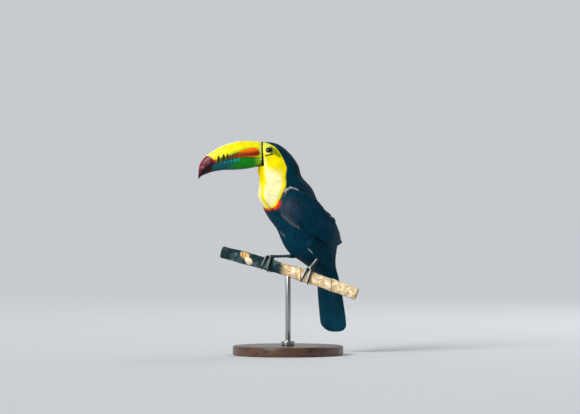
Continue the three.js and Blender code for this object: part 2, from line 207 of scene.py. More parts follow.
def wobble(points, scale, seed):
    """Smooth, seeded unevenness, from -1 to 1, at points in millimetres."""
    made = np.random.default_rng(seed)
    total = np.zeros(len(points))
    for octave in range(3):
        for _ in range(4):
            way = unit(made.normal(size=3)) * (2 * np.pi / scale) * 2**octave
            total += np.sin(points @ way + made.uniform(0, 6.28)) / 2**octave
    return total / 4


def distance_to_outline(outline, x, z):
    """How far points lie inside a closed outline, in its own units. It is negative outside."""
    p = np.asarray(outline, float)
    closed = np.concatenate([p[-1:], p, p[:2]])
    p = curve(closed, np.linspace(1, len(p) + 1, 4 * len(p) + 1)[:-1] / (len(closed) - 1))
    q = np.roll(p, -1, axis=0)
    flat = np.stack([x, z], -1)
    best = np.full(len(flat), 1e9)
    inside = np.zeros(len(flat), bool)
    for a, b in zip(p, q):
        edge = b - a
        share = np.clip(((flat - a) @ edge) / (edge @ edge), 0, 1)
        best = np.minimum(best, np.linalg.norm(flat - a - share[:, None] * edge, axis=1))
        crosses = (a[1] > flat[:, 1]) != (b[1] > flat[:, 1])
        rise = edge[1] if abs(edge[1]) > 1e-9 else 1e-9
        inside ^= crosses & (flat[:, 0] < a[0] + (flat[:, 1] - a[1]) * edge[0] / rise)
    return np.where(inside, best, -best)


# ---- The forms that feathers, scales and horn are laid on ----

class Hull:
    """A smooth tube through sections. Each has a centre and arms sideways, up and down."""

    def __init__(self, at, side, up, down, power=2.0, caps=None):
        self.at, self.side, self.up, self.down = (np.asarray(v, float) for v in (at, side, up, down))
        self.power = power
        self.caps = caps

    def size(self, t):
        """1 along the tube, less where its ends round off."""
        if self.caps is None:
            return np.ones_like(t)
        first = 1 - np.clip(1 - t / self.caps[0], 0, 1) ** 2
        last = 1 - np.clip(1 - (1 - t) / self.caps[1], 0, 1) ** 2
        return np.sqrt(np.maximum(first * last, 0))

    def bare(self, t, a):
        end = np.clip(t, 0, 1)
        at, side, up, down = (curve(v, end) for v in (self.at, self.side, self.up, self.down))
        beyond = (t - end)[..., None]
        at = at + beyond * (curve(self.at, end) - curve(self.at, np.clip(end - 0.01, 0, 1))) / 0.01
        across = np.sign(np.cos(a)) * np.abs(np.cos(a)) ** (2 / self.power) * self.size(end)
        rise = np.abs(np.sin(a)) ** (2 / self.power) * self.size(end)
        arm = np.where((np.sin(a) >= 0)[..., None], up, down)
        return at + side * across[..., None] + arm * rise[..., None]

    def frame(self, t, a):
        """The point, the way along the tube, the way round it and straight out, with both scales."""
        step = 0.004
        p = self.bare(t, a)
        along = (self.bare(t + step, a) - self.bare(t - step, a)) / (2 * step)
        around = (self.bare(t, a + step * 5) - self.bare(t, a - step * 5)) / (10 * step)
        out = unit(np.cross(around, along))
        centre = curve(self.at, np.clip(t, 0, 1))
        flip = np.sum(out * (p - centre), axis=-1, keepdims=True) < 0
        return p, along, around, np.where(flip, -out, out)


def body_hull():
    z, x, y, yaw, ahead, behind, wide, tip = np.array(list(BODY_SECTIONS.values()), float).T
    forward, left = facing(yaw)
    back = -forward * np.cos(np.radians(tip))[:, None]
    back[:, 2] = np.sin(np.radians(tip))
    at = np.stack([x, y, z], -1)
    return Hull(at, left * wide[:, None], back * behind[:, None], -back * ahead[:, None], 2.1)


def wing_hull(mirror):
    """mirror is 1 for the left wing and -1 for the right."""
    forward, left = facing(float(WING_YAW))
    z, ahead, off, face, wide, thick = np.array(WING_SECTIONS, float).T
    at = PELVIS + ahead[:, None] * forward + (off * mirror)[:, None] * left
    at[:, 2] = z
    share = np.arange(len(at)) / (len(at) - 1)
    tangent = unit(curve(at, share + 0.001) - curve(at, share - 0.001))
    turn = np.radians(face)[:, None]
    out = np.cos(turn) * forward + np.sin(turn) * left * mirror
    out = unit(out - tangent * np.sum(out * tangent, axis=1, keepdims=True))
    side = np.cross(tangent, out) * mirror
    thick = thick[:, None]
    return Hull(at, side * wide[:, None], out * thick, -out * thick, 2.2, (0.16, 0.06))


def round_hull(points, radii, reference, caps=None):
    """A round tube along points."""
    points = np.asarray(points, float)
    share = np.arange(len(points)) / (len(points) - 1)
    tangent = unit(curve(points, share + 0.001) - curve(points, share - 0.001))
    side = unit(np.cross(np.asarray(reference, float), tangent))
    up = np.cross(tangent, side)
    r = np.asarray(radii, float)[:, None]
    return Hull(points, side * r, up * r, -up * r, 2.0, caps)


BODY = body_hull()
WINGS = {"left": wing_hull(1), "right": wing_hull(-1)}


# ---- Meshes ----

def deselect():
    bpy.ops.object.select_all(action="DESELECT")


def only(piece):
    deselect()
    piece.select_set(True)
    bpy.context.view_layer.objects.active = piece


def mesh_piece(name, verts, faces, smooth_faces=True):
    """A piece from arrays: verts in millimetres, faces a list of index arrays of one width each."""
    faces = [np.asarray(f, np.int32) for f in faces if len(f)]
    mesh = bpy.data.meshes.new(name)
    mesh.vertices.add(len(verts))
    mesh.vertices.foreach_set("co", (np.asarray(verts, float) * MM).astype(np.float32).ravel())
    corners = np.concatenate([f.ravel() for f in faces])
    sizes = np.concatenate([np.full(len(f), f.shape[1], np.int32) for f in faces])
    mesh.loops.add(len(corners))
    mesh.loops.foreach_set("vertex_index", corners)
    mesh.polygons.add(len(sizes))
    mesh.polygons.foreach_set("loop_start", np.concatenate([[0], np.cumsum(sizes)[:-1]]).astype(np.int32))
    mesh.polygons.foreach_set("use_smooth", np.full(len(sizes), smooth_faces))
    mesh.update(calc_edges=True)
    piece = bpy.data.objects.new(name, mesh)
    bpy.context.scene.collection.objects.link(piece)
    return piece


def give(piece, name, values, kind):
    """Stores values on the piece's points: kind is FLOAT, FLOAT_VECTOR or FLOAT_COLOR."""
    values = np.asarray(values, np.float32)
    if kind == "FLOAT_COLOR":
        values = np.concatenate([values, np.ones((len(values), 1), np.float32)], axis=1)
    attribute = piece.data.attributes.new(name, kind, "POINT")
    key = {"FLOAT": "value", "FLOAT_VECTOR": "vector", "FLOAT_COLOR": "color"}[kind]
    attribute.data.foreach_set(key, values.ravel())


def points_of(piece):
    co = np.empty(len(piece.data.vertices) * 3, np.float32)
    piece.data.vertices.foreach_get("co", co)
    return co.reshape(-1, 3).astype(float) / MM


def move_points(piece, p):
    """Puts the piece's points at p, in millimetres."""
    piece.data.vertices.foreach_set("co", (p * MM).astype(np.float32).ravel())
    piece.data.update()


def corners_of(piece):
    index = np.empty(len(piece.data.loops), np.int32)
    piece.data.loops.foreach_get("vertex_index", index)
    return index


def set_map(piece, per_corner):
    layer = piece.data.uv_layers.new(name="OFBake")
    layer.data.foreach_set("uv", np.asarray(per_corner, np.float32).ravel())


def tube(name, hull, along, around, ends=True, carve=None, t=None, a=None):
    """A closed tube over a hull. carve(t, a, p) gives how far out to move each point, in millimetres."""
    if t is None:
        t = np.linspace(0.002, 0.998, along)
    if a is None:
        a = np.arange(around) / around * 2 * np.pi
    around = len(a)
    tt, aa = (v.ravel() for v in np.meshgrid(t, a, indexing="ij"))
    p, _, _, out = hull.frame(tt, aa)
    if carve is not None:
        p = p + out * carve(tt, aa, p)[:, None]
    rows = len(t)
    i = np.arange(rows - 1)[:, None] * around
    j = np.arange(around)[None, :]
    k = (j + 1) % around
    quads = np.stack([i + j, i + k, i + around + k, i + around + j], -1).reshape(-1, 4)
    faces = [quads]
    if ends:
        first, last = p[:around].mean(0), p[-around:].mean(0)
        n = len(p)
        p = np.concatenate([p, [first, last]])
        tt = np.concatenate([tt, [t[0], t[-1]]])
        aa = np.concatenate([aa, [0, 0]])
        ring, nxt = np.arange(around), (np.arange(around) + 1) % around
        low = np.stack([nxt, ring, np.full(around, n)], -1)
        base = (rows - 1) * around
        high = np.stack([base + ring, base + nxt, np.full(around, n + 1)], -1)
        faces += [low, high]
    piece = mesh_piece(name, p, faces)
    only(piece)
    bpy.ops.object.mode_set(mode="EDIT")
    bpy.ops.mesh.select_all(action="SELECT")
    bpy.ops.mesh.normals_make_consistent(inside=False)
    bpy.ops.object.mode_set(mode="OBJECT")
    return piece, tt, aa, p


# ---- Materials ----

class Shader:
    """A material's node tree, built by name."""

    def __init__(self, tree):
        self.tree = tree

    def node(self, kind, **settings):
        made = self.tree.nodes.new(kind)
        for key, value in settings.items():
            if hasattr(made, key):
                setattr(made, key, value)
            else:
                made.inputs[key.replace("_", " ").title()].default_value = value
        return made

    def join(self, source, target):
        self.tree.links.new(source, target)

    def blend(self, a, b, factor, how="MIX"):
        """A colour between a and b. Each is a socket or a colour."""
        made = self.node("ShaderNodeMix", data_type="RGBA", blend_type=how)
        for socket, value in ((made.inputs[0], factor), (made.inputs[6], a), (made.inputs[7], b)):
            if isinstance(value, bpy.types.NodeSocket):
                self.join(value, socket)
            elif isinstance(value, (int, float)):
                socket.default_value = value
            else:
                socket.default_value = (*value, 1)
        return made.outputs[2]

    def sum(self, a, b, how="ADD"):
        made = self.node("ShaderNodeMath", operation=how)
        for socket, value in zip(made.inputs, (a, b)):
            if isinstance(value, bpy.types.NodeSocket):
                self.join(value, socket)
            else:
                socket.default_value = value
        return made.outputs[0]


def new_group(name, takes, gives):
    """A node group. takes and gives list (name, socket kind, default)."""
    tree = bpy.data.node_groups.new(name, "ShaderNodeTree")
    for label, kind, default in takes:
        socket = tree.interface.new_socket(label, in_out="INPUT", socket_type="NodeSocket" + kind)
        if default is not None:
            socket.default_value = default
    for label, kind in gives:
        tree.interface.new_socket(label, in_out="OUTPUT", socket_type="NodeSocket" + kind)
    s = Shader(tree)
    return tree, s, s.node("NodeGroupInput").outputs, s.node("NodeGroupOutput").inputs


def mottle_group():
    """Uneven tone at one scale: a value between Low and High."""
    tree, s, takes, gives = new_group(
        "mottle",
        [("Vector", "Vector", None), ("Scale", "Float", 50.0), ("Low", "Float", 0.8), ("High", "Float", 1.2)],
        [("Tone", "Float")],
    )
    noise = s.node("ShaderNodeTexNoise", detail=4.0, roughness=0.6)
    s.join(takes["Vector"], noise.inputs["Vector"])
    s.join(takes["Scale"], noise.inputs["Scale"])
    spread = s.node("ShaderNodeMapRange")
    spread.inputs["From Min"].default_value = 0.3
    spread.inputs["From Max"].default_value = 0.7
    s.join(noise.outputs[0], spread.inputs["Value"])
    s.join(takes["Low"], spread.inputs["To Min"])
    s.join(takes["High"], spread.inputs["To Max"])
    s.join(spread.outputs[0], gives["Tone"])
    return tree


def barb_group():
    """The fine slanting barbs of a vane, from its own across-and-along measure in millimetres."""
    tree, s, takes, gives = new_group(
        "barbs",
        [("Vane", "Vector", None), ("Pitch", "Float", 2.2), ("Slant", "Float", 0.8)],
        [("Height", "Float")],
    )
    parts = s.node("ShaderNodeSeparateXYZ")
    s.join(takes["Vane"], parts.inputs[0])
    across = s.sum(parts.outputs[0], 0, "ABSOLUTE")
    lean = s.sum(across, takes["Slant"], "MULTIPLY")
    way = s.sum(parts.outputs[1], lean, "SUBTRACT")
    turns = s.sum(s.sum(way, takes["Pitch"], "MULTIPLY"), 6.283, "MULTIPLY")
    wave = s.sum(s.sum(s.sum(turns, 0, "SINE"), 0.5, "MULTIPLY"), 0.5)
    s.join(wave, gives["Height"])
    return tree


MOTTLE = mottle_group()
BARBS = barb_group()


def place_group(s, tree, **values):
    made = s.node("ShaderNodeGroup", node_tree=tree)
    for key, value in values.items():
        if isinstance(value, bpy.types.NodeSocket):
            s.join(value, made.inputs[key])
        else:
            made.inputs[key].default_value = value
    return made.outputs[0]


def new_material(name, roughness=0.5, **constants):
    material = bpy.data.materials.new(name)
    material.use_nodes = True
    s = Shader(material.node_tree)
    shader = material.node_tree.nodes["Principled BSDF"]
    shader.inputs["Roughness"].default_value = roughness
    for key, value in constants.items():
        shader.inputs[key.replace("_", " ")].default_value = value
    return material, s, shader.inputs


def attribute(s, name):
    return s.node("ShaderNodeAttribute", attribute_name=name)


def here(s):
    return s.node("ShaderNodeTexCoord").outputs["Object"]


def bump(s, height, strength, distance, after=None):
    made = s.node("ShaderNodeBump")
    made.inputs["Strength"].default_value = strength
    made.inputs["Distance"].default_value = distance
    s.join(height, made.inputs["Height"])
    if after is not None:
        s.join(after, made.inputs["Normal"])
    return made.outputs[0]


def tone(s, color, value):
    """A colour made lighter or darker by a value."""
    return s.blend(color, value, 1.0, "MULTIPLY")


def mottled(s, scale, low, high):
    """The shared mottle at one scale, between two values."""
    return place_group(s, MOTTLE, Vector=here(s), Scale=scale, Low=low, High=high)


def noise(s, scale, vector=None, **settings):
    """A plain noise value at one scale."""
    made = s.node("ShaderNodeTexNoise", scale=scale, **settings)
    s.join(here(s) if vector is None else vector, made.inputs["Vector"])
    return made.outputs[0]


def pitted(s, scale, strength, distance):
    """A bump of small cells, such as pores."""
    made = s.node("ShaderNodeTexVoronoi", scale=scale)
    s.join(here(s), made.inputs["Vector"])
    return bump(s, made.outputs["Distance"], strength, distance)


def stretched(s, *scale):
    """The piece's own coordinates, stretched along each axis."""
    made = s.node("ShaderNodeMapping")
    made.inputs["Scale"].default_value = scale
    s.join(here(s), made.inputs["Vector"])
    return made.outputs[0]


def between(s, value, low, high):
    """0 where a value is at low, 1 where it is at high."""
    made = s.node("ShaderNodeMapRange")
    made.inputs["From Min"].default_value = low
    made.inputs["From Max"].default_value = high
    s.join(value, made.inputs["Value"])
    return made.outputs[0]


def scaled(s, value, factor, start):
    """A value times a factor, from a start."""
    return s.sum(s.sum(value, factor, "MULTIPLY"), start)


def feather_material(name, pitch, roughness, gloss):
    """Feathers: each one's own tint, with barbs and uneven tone."""
    material, s, shader = new_material(name, roughness, Specular_IOR_Level=gloss)
    tint = attribute(s, "tint").outputs["Color"]
    vane = attribute(s, "vane").outputs["Vector"]
    barbs = place_group(s, BARBS, Vane=vane, Pitch=pitch, Slant=0.8)
    uneven = mottled(s, 55.0, 0.82, 1.2)
    fine = scaled(s, barbs, 0.16, 0.9)
    color = tone(s, tint, s.sum(uneven, fine, "MULTIPLY"))
    s.join(color, shader["Base Color"])
    rough = mottled(s, 140.0, roughness - 0.06, roughness + 0.1)
    s.join(rough, shader["Roughness"])
    s.join(bump(s, barbs, 0.35, 0.0002), shader["Normal"])
    return material


def skin_material():
    """Skin and down beneath the feathers, which carries the same markings."""
    material, s, shader = new_material("skin_and_down", 0.7, Specular_IOR_Level=0.25)
    tint = attribute(s, "tint").outputs["Color"]
    uneven = mottled(s, 400.0, 0.85, 1.1)
    s.join(tone(s, tint, uneven), shader["Base Color"])
    s.join(pitted(s, 1400, 0.5, 0.0003), shader["Normal"])
    return material


def horn_material():
    """The bill: layered horn with fine lengthwise streaks and a soft gloss."""
    material, s, shader = new_material(
        "bill_horn", 0.32, Specular_IOR_Level=0.2, Coat_Weight=0.05, Coat_Roughness=0.2
    )
    tint = attribute(s, "tint").outputs["Color"]
    streaks = noise(s, 1.0, stretched(s, 90, 700, 700), detail=5.0, roughness=0.65)
    level = scaled(s, streaks, 0.34, 0.83)
    cloud = mottled(s, 90.0, 0.86, 1.08)
    s.join(tone(s, tint, s.sum(level, cloud, "MULTIPLY")), shader["Base Color"])
    rough = mottled(s, 320.0, 0.24, 0.46)
    s.join(rough, shader["Roughness"])
    s.join(bump(s, streaks, 0.25, 0.0003), shader["Normal"])
    return material


def scale_material():
    """Scaled leg skin: slate blue, pale along the plates' edges, with painted light: near-white on the side
    that faces the key light.
    """
    material, s, shader = new_material("leg_scales", 0.5, Specular_IOR_Level=0.45)
    edge = attribute(s, "edge").outputs["Fac"]
    front = attribute(s, "front").outputs["Fac"]
    # Painted light: slate blue turns near-white where the side faces the key light.
    painted_light_plate = s.blend(linear(14, 36, 50), linear(250, 250, 246), front)
    base = s.blend(painted_light_plate, linear(62, 84, 96), edge)
    uneven = mottled(s, 500.0, 0.75, 1.3)
    s.join(tone(s, base, uneven), shader["Base Color"])
    s.join(pitted(s, 2600, 0.3, 0.0002), shader["Normal"])
    return material


def claw_material():
    material, s, shader = new_material("claw_horn", 0.3, Specular_IOR_Level=0.55)
    uneven = mottled(s, 600.0, 0.6, 1.8)
    s.join(tone(s, linear(22, 25, 30), uneven), shader["Base Color"])
    s.join(bump(s, uneven, 0.15, 0.0002), shader["Normal"])
    return material


def eye_material():
    """A dark iris round a black pupil, under a wet clear skin."""
    material, s, shader = new_material(
        "eye", 0.05, Specular_IOR_Level=0.2, Coat_Weight=0.25, Coat_Roughness=0.02
    )
    iris = attribute(s, "iris").outputs["Fac"]
    fleck = mottled(s, 1500.0, 0.5, 1.6)
    brown = tone(s, linear(13, 9, 7), fleck)
    s.join(s.blend(linear(2, 2, 3), brown, iris), shader["Base Color"])
    return material


def lid_material():
    """Bare skin round the eye, dark at the rim."""
    material, s, shader = new_material("eye_skin", 0.55, Specular_IOR_Level=0.4)
    tint = attribute(s, "tint").outputs["Color"]
    uneven = mottled(s, 900.0, 0.75, 1.2)
    s.join(tone(s, tint, uneven), shader["Base Color"])
    s.join(bump(s, uneven, 0.4, 0.0003), shader["Normal"])
    return material


def bark_material():
    """Dry bark, pale tan to grey-green, with blotches, specks and fine cracks. The grey-green is partly dark
    bark, partly painted shadow.
    """
    material, s, shader = new_material("bark", 0.85, Specular_IOR_Level=0.25)
    tint = attribute(s, "tint").outputs["Color"]
    ramp = s.node("ShaderNodeValToRGB")
    ramp.color_ramp.elements[0].position = 0.42
    ramp.color_ramp.elements[1].position = 0.6
    s.join(noise(s, 130, detail=6.0, roughness=0.7), ramp.inputs[0])
    pale = tone(s, tint, scaled(s, ramp.outputs[0], 0.7, 0.75))
    specks = between(s, noise(s, 420, detail=3.0), 0.62, 0.68)
    s.join(s.blend(pale, linear(60, 45, 32), specks), shader["Base Color"])
    rough = noise(s, 300, detail=8.0, roughness=0.7)
    s.join(bump(s, rough, 0.6, 0.0012), shader["Normal"])
    return material


def cut_wood_material():
    """The perch's sawn ends: rings round the pith."""
    material, s, shader = new_material("sawn_wood", 0.75, Specular_IOR_Level=0.25)
    rings = s.node("ShaderNodeTexWave", wave_type="RINGS", rings_direction="SPHERICAL")
    rings.inputs["Scale"].default_value = 0.35
    rings.inputs["Distortion"].default_value = 2.0
    s.join(attribute(s, "disc").outputs["Vector"], rings.inputs["Vector"])
    color = s.blend(linear(222, 190, 140), linear(168, 128, 84), rings.outputs["Fac"])
    uneven = mottled(s, 260.0, 0.85, 1.1)
    s.join(tone(s, color, uneven), shader["Base Color"])
    s.join(bump(s, rings.outputs["Fac"], 0.3, 0.0003), shader["Normal"])
    return material


def base_material():
    """Dark stained hardwood under satin lacquer, its grain along X."""
    material, s, shader = new_material("base_wood", 0.4, Coat_Weight=0.3, Coat_Roughness=0.2)
    along = stretched(s, 2.5, 30, 30)
    grain = noise(s, 3.0, along, detail=9.0, roughness=0.65, distortion=0.6)
    pores = noise(s, 14.0, along, detail=4.0)
    color = s.blend(linear(46, 27, 17), linear(104, 66, 40), between(s, grain, 0.36, 0.64))
    s.join(tone(s, color, scaled(s, pores, 0.7, 0.65)), shader["Base Color"])
    s.join(bump(s, pores, 0.15, 0.0003), shader["Normal"])
    return material


def steel_material():
    """Brushed steel."""
    material, s, shader = new_material("rod_steel", 0.3, Metallic=1.0)
    brush = noise(s, 1.0, stretched(s, 900, 900, 40), detail=4.0)
    s.join(s.blend(linear(150, 152, 154), linear(190, 191, 192), brush), shader["Base Color"])
    s.join(scaled(s, brush, 0.2, 0.2), shader["Roughness"])
    return material


# ---- Markings, shared by the skin and its feathers ----

def to_head(p):
    """Points in the head's axes: ahead of the gape, towards the bird's left, and up."""
    a = math.radians(180 + HEAD_YAW)
    d = p - GAPE
    ahead = d[:, 0] * math.cos(a) + d[:, 1] * math.sin(a)
    to_the_left = d[:, 1] * math.cos(a) - d[:, 0] * math.sin(a)
    return np.stack([ahead, to_the_left, d[:, 2]], -1)


def from_head(p):
    a = math.radians(180 + HEAD_YAW)
    p = np.asarray(p, float)
    x = p[..., 0] * math.cos(a) - p[..., 1] * math.sin(a)
    y = p[..., 0] * math.sin(a) + p[..., 1] * math.cos(a)
    return np.stack([x, y, p[..., 2]], -1) + GAPE


def to_left(a):
    """Degrees round from the middle of the breast towards the bird's left."""
    return np.degrees((a - 0.5 * np.pi) % (2 * np.pi) - np.pi)


def from_front(a):
    """Degrees round from the middle of the breast, to either side."""
    return np.abs(to_left(a))


def bib_angle(t):
    stations = [STATIONS[name] for name in BIB_ANGLES] + [station for station, _ in BIB_FOOT] + [BIB_END, 1]
    angles = [*BIB_ANGLES.values()] + [angle for _, angle in BIB_FOOT] + [0, 0]
    return np.interp(t, stations, angles)


def parting_angle(t):
    """Where the bib's feathers part, in degrees to the left of the middle."""
    return np.interp(t, *np.transpose(PARTING))


def bib_border():
    t = np.linspace(0, BIB_END, 260)
    angle = np.radians(bib_angle(t))
    return np.concatenate([BODY.bare(t, 1.5 * np.pi + angle), BODY.bare(t, 1.5 * np.pi - angle)])


def point_tree(points):
    tree = kdtree.KDTree(len(points))
    for i, co in enumerate(points):
        tree.insert(co, i)
    tree.balance()
    return tree


BORDER = point_tree(bib_border())
# Outlines on the side of the head, in its own axes: ahead and up.
BARE_SKIN = (
    (-2.5, 22), (-9, 23.5), (-17, 22), (-24, 17.5), (-27, 11),
    (-20, 7), (-10, 5.5), (-3, 6.5), (-1.5, 14),
)
OLIVE_PATCH = ((-15, 21), (-24, 19.5), (-32, 13), (-37.5, 1), (-31, 0.5), (-22, 5.5), (-14, 7.5))

TEAL_BLACK = linear(0, 54, 74)
# A greyish mauve for painted sheen, where light catches the glossy black feathers.
PAINTED_SHEEN_MAUVE = linear(66, 74, 90)
NAPE_BLACK = linear(2, 38, 56)
BIB_YELLOW = linear(255, 238, 0)
# Pale cream for the bib's middle: partly its own paler colour, partly a painted highlight.
BIB_PALE_AND_HIGHLIGHT = linear(255, 250, 190)
# A deeper orange-yellow for painted shade beneath the bill.
CHIN_SHADE_YELLOW = linear(255, 208, 0)
FACE_YELLOW = linear(240, 242, 84)
OLIVE = linear(168, 186, 0)
BIB_RED = linear(250, 48, 0)
VENT_RED = linear(176, 14, 10)
# A pale colour for painted highlights on the feathers.
PAINTED_HIGHLIGHT_PALE = linear(246, 240, 228)
PARTING = ((0.3, 10), (0.42, 8), (0.5, 3))  # share along the body, degrees left of the middle

# Painted highlights: pale strokes where light catches the feathers of breast and shoulder: (share along the
# body, degrees to the left), half-width and strength.
PAINTED_HIGHLIGHT_LINES = (
    (((0.43, 64), (0.42, 68), (0.41, 73), (0.405, 80), (0.41, 87), (0.42, 92)), 1.35, 0.95),
    (((0.44, 65), (0.455, 69)), 2.0, 0.22),
    (((0.46, 60), (0.475, 60), (0.495, 55)), 1.3, 0.2),
    (((0.45, 63), (0.465, 67), (0.485, 65)), 1.2, 0.18),
    (((0.54, 28), (0.565, 30), (0.585, 38)), 1.0, 0.12),
    (((0.585, 38), (0.59, 43), (0.595, 49)), 1.2, 0.24),
    (((0.55, 32), (0.575, 38), (0.59, 47)), 1.0, 0.12),
    (((0.61, -10), (0.62, -4), (0.63, 3)), 1.1, 0.22),
)
RUMP_WHITE = linear(236, 232, 218)


def bib_depth(t, a, p):
    """How far a point lies inside the bib, in millimetres. It is negative outside."""
    best = np.full(len(p), 30.0)
    near = np.flatnonzero(t < BIB_END + 0.08)
    best[near] = [BORDER.find(p[i])[2] for i in near]
    inside = (from_front(a) < bib_angle(t)) & (t < BIB_END)
    return np.where(inside, best, -best)


def painted_eye_fold_shade(head):
    """A dark line beneath the eye, from its front corner back: painted shade in the fold of bare skin."""
    x = np.clip(head[:, 0], -18.5, -5.5)
    line = 3.8 + 0.2 * (-5.5 - x)
    return smooth(1.9, 1.0, np.hypot(head[:, 0] - x, head[:, 2] - line)) * (np.abs(head[:, 1]) > 10)


def near_line(line, p):
    """How far points lie from a line drawn on the body through (share along it, degrees to the left)."""
    t, left = curve(np.array(line, float), np.linspace(0, 1, 14)).T
    drawn = BODY.bare(t, 1.5 * np.pi + np.radians(left))
    best = np.full(len(p), 1e9)
    for start, end in zip(drawn[:-1], drawn[1:]):
        edge = end - start
        share = np.clip(((p - start) @ edge) / (edge @ edge), 0, 1)
        best = np.minimum(best, np.linalg.norm(p - start - share[:, None] * edge, axis=1))
    return best


def markings(t, a, p, jitter=0.0):
    """The bird's colours at points p of the body, which lie at shares t along it and angles a round it."""
    depth = bib_depth(t, a, p) + jitter
    head = to_head(p)
    left = to_left(a)
    front = np.abs(left)
    dark = mix(TEAL_BLACK, NAPE_BLACK, smooth(110, 180, front) * smooth(0.1, 0.25, t) * smooth(0.5, 0.35, t))
    # Painted sheen: a greyish mauve highlight on the breast's sides, below the bib.
    painted_sheen = smooth(0.42, 0.46, t) * smooth(0.61, 0.54, t) * smooth(20, 36, front) * smooth(84, 60, front)
    dark = mix(dark, PAINTED_SHEEN_MAUVE, painted_sheen * 0.75)
    # Painted highlights: pale strokes on the breast and shoulder.
    body = np.flatnonzero((t > 0.38) & (t < 0.8) & (left > -20) & (left < 100))
    for line, half, strength in PAINTED_HIGHLIGHT_LINES:
        painted_highlight_stroke = smooth(half, half * 0.4, near_line(line, p[body]))
        dark[body] = mix(dark[body], PAINTED_HIGHLIGHT_PALE, painted_highlight_stroke * strength)
    # The bib pales to cream away from its border: partly its own colour, partly a painted highlight. It stays
    # deep yellow at the border and up the throat.
    rim = 1 - 0.45 * smooth(0.38, 0.45, t)
    down = t - 0.12 * smooth(38, 85, front)
    yellow = mix(BIB_YELLOW, BIB_PALE_AND_HIGHLIGHT, smooth(4, 12, depth / rim) * smooth(0.12, 0.27, down))
    # Painted shade along the parting of the bib's feathers: the cream gives way to deep yellow there.
    parting = smooth(7.5, 3.5, np.abs(left - parting_angle(t))) * smooth(0.3, 0.36, t)
    yellow = mix(yellow, BIB_YELLOW, parting)
    throat = 54 - 24 * smooth(0.2, 0.38, t)
    yellow = mix(yellow, BIB_YELLOW, smooth(throat, throat - 7, front) * smooth(0.43, 0.36, t))
    # Painted shade under the bill: the chin turns orange-yellow.
    chin = smooth(30, 12, front) * smooth(0.38, 0.3, t)
    yellow = mix(yellow, CHIN_SHADE_YELLOW, chin * 0.7)
    # Painted highlight: a pale cream strip on the cheek just behind the bill.
    painted_cheek_highlight = smooth(3.2, 1.2, np.abs(head[:, 0] + 5.5))
    painted_cheek_highlight = painted_cheek_highlight * smooth(-34, -26, head[:, 2]) * smooth(3, -4, head[:, 2])
    yellow = mix(yellow, BIB_PALE_AND_HIGHLIGHT, painted_cheek_highlight * 0.6)
    yellow = mix(yellow, FACE_YELLOW, smooth(-26, -12, head[:, 0]) * smooth(4, 10, head[:, 2]))
    olive = distance_to_outline(OLIVE_PATCH, head[:, 0], head[:, 2])
    streaks = 0.75 + 0.25 * np.sin(head[:, 2] * 1.9 + head[:, 0] * 0.8)
    yellow = mix(yellow, OLIVE * streaks[:, None], smooth(-1.0, 2.0, olive) * smooth(0.9, 2.4, depth))
    # Painted shade in the fold beneath the eye.
    yellow = mix(yellow, linear(14, 44, 14), painted_eye_fold_shade(head) * 0.9)
    color = mix(dark, yellow, smooth(-0.3, 0.3, depth))
    reach = 4.6 + 0.8 * smooth(12, 26, front)
    red = smooth(-reach - 0.6, -reach + 0.4, depth) * smooth(0.6, -0.2, depth) * smooth(0.48, 0.496, t)
    color = mix(color, BIB_RED, red)
    seam = 0.8 + 1.8 * smooth(14, -16, head[:, 2])
    at_bill = smooth(-seam - 0.4, -seam + 0.4, head[:, 0]) * (t < 0.2) * smooth(-17, -15, head[:, 2])
    color = mix(color, linear(3, 4, 5), at_bill)
    rump = smooth(0, 14, front - 138 - 30 * smooth(0.86, 0.78, t)) * smooth(0.77, 0.8, t)
    color = mix(color, RUMP_WHITE, rump)
    above_perch = p[:, 2] - perch_axis(p[:, 0])[:, 2]
    by_perch = smooth(9.2, 7.6, np.abs(above_perch + 1.5)) * smooth(66, 56, front)
    under = smooth(-48, -58, left) * smooth(-112, -96, left)
    vent = np.maximum(by_perch, under) * smooth(0.82, 0.86, t)
    color = mix(color, VENT_RED, vent)
    notch = smooth(4.0, 2.4, np.abs(left - 11.5)) * smooth(0.515, 0.519, t)
    crease = smooth(1.8, 0.9, np.abs(left - parting_angle(t) - 2)) * smooth(0.494, 0.502, t)
    return mix(color, TEAL_BLACK, np.maximum(notch, crease) * smooth(0.55, 0.54, t))


def coat_depth(t):
    """How far the skin lies beneath the feathers' outer surface."""
    return np.interp(t, [0, 0.04, 0.15, 0.35, 0.55, 0.9, 1], [0.7, 0.9, 1.2, 1.8, 2.3, 2.3, 1.6])


# ---- Feathers ----

def vane_faces(rows, columns):
    """One vane: quads along it, then a fringe of pointed barb tips."""
    wide = columns + 1
    i = np.arange(rows - 1)[:, None] * wide
    j = np.arange(columns)[None, :]
    quads = np.stack([i + j, i + j + 1, i + wide + j + 1, i + wide + j], -1).reshape(-1, 4)
    base = (rows - 1) * wide
    j = np.arange(columns)
    tips = np.stack([base + j, base + j + 1, rows * wide + j], -1)
    return quads, tips


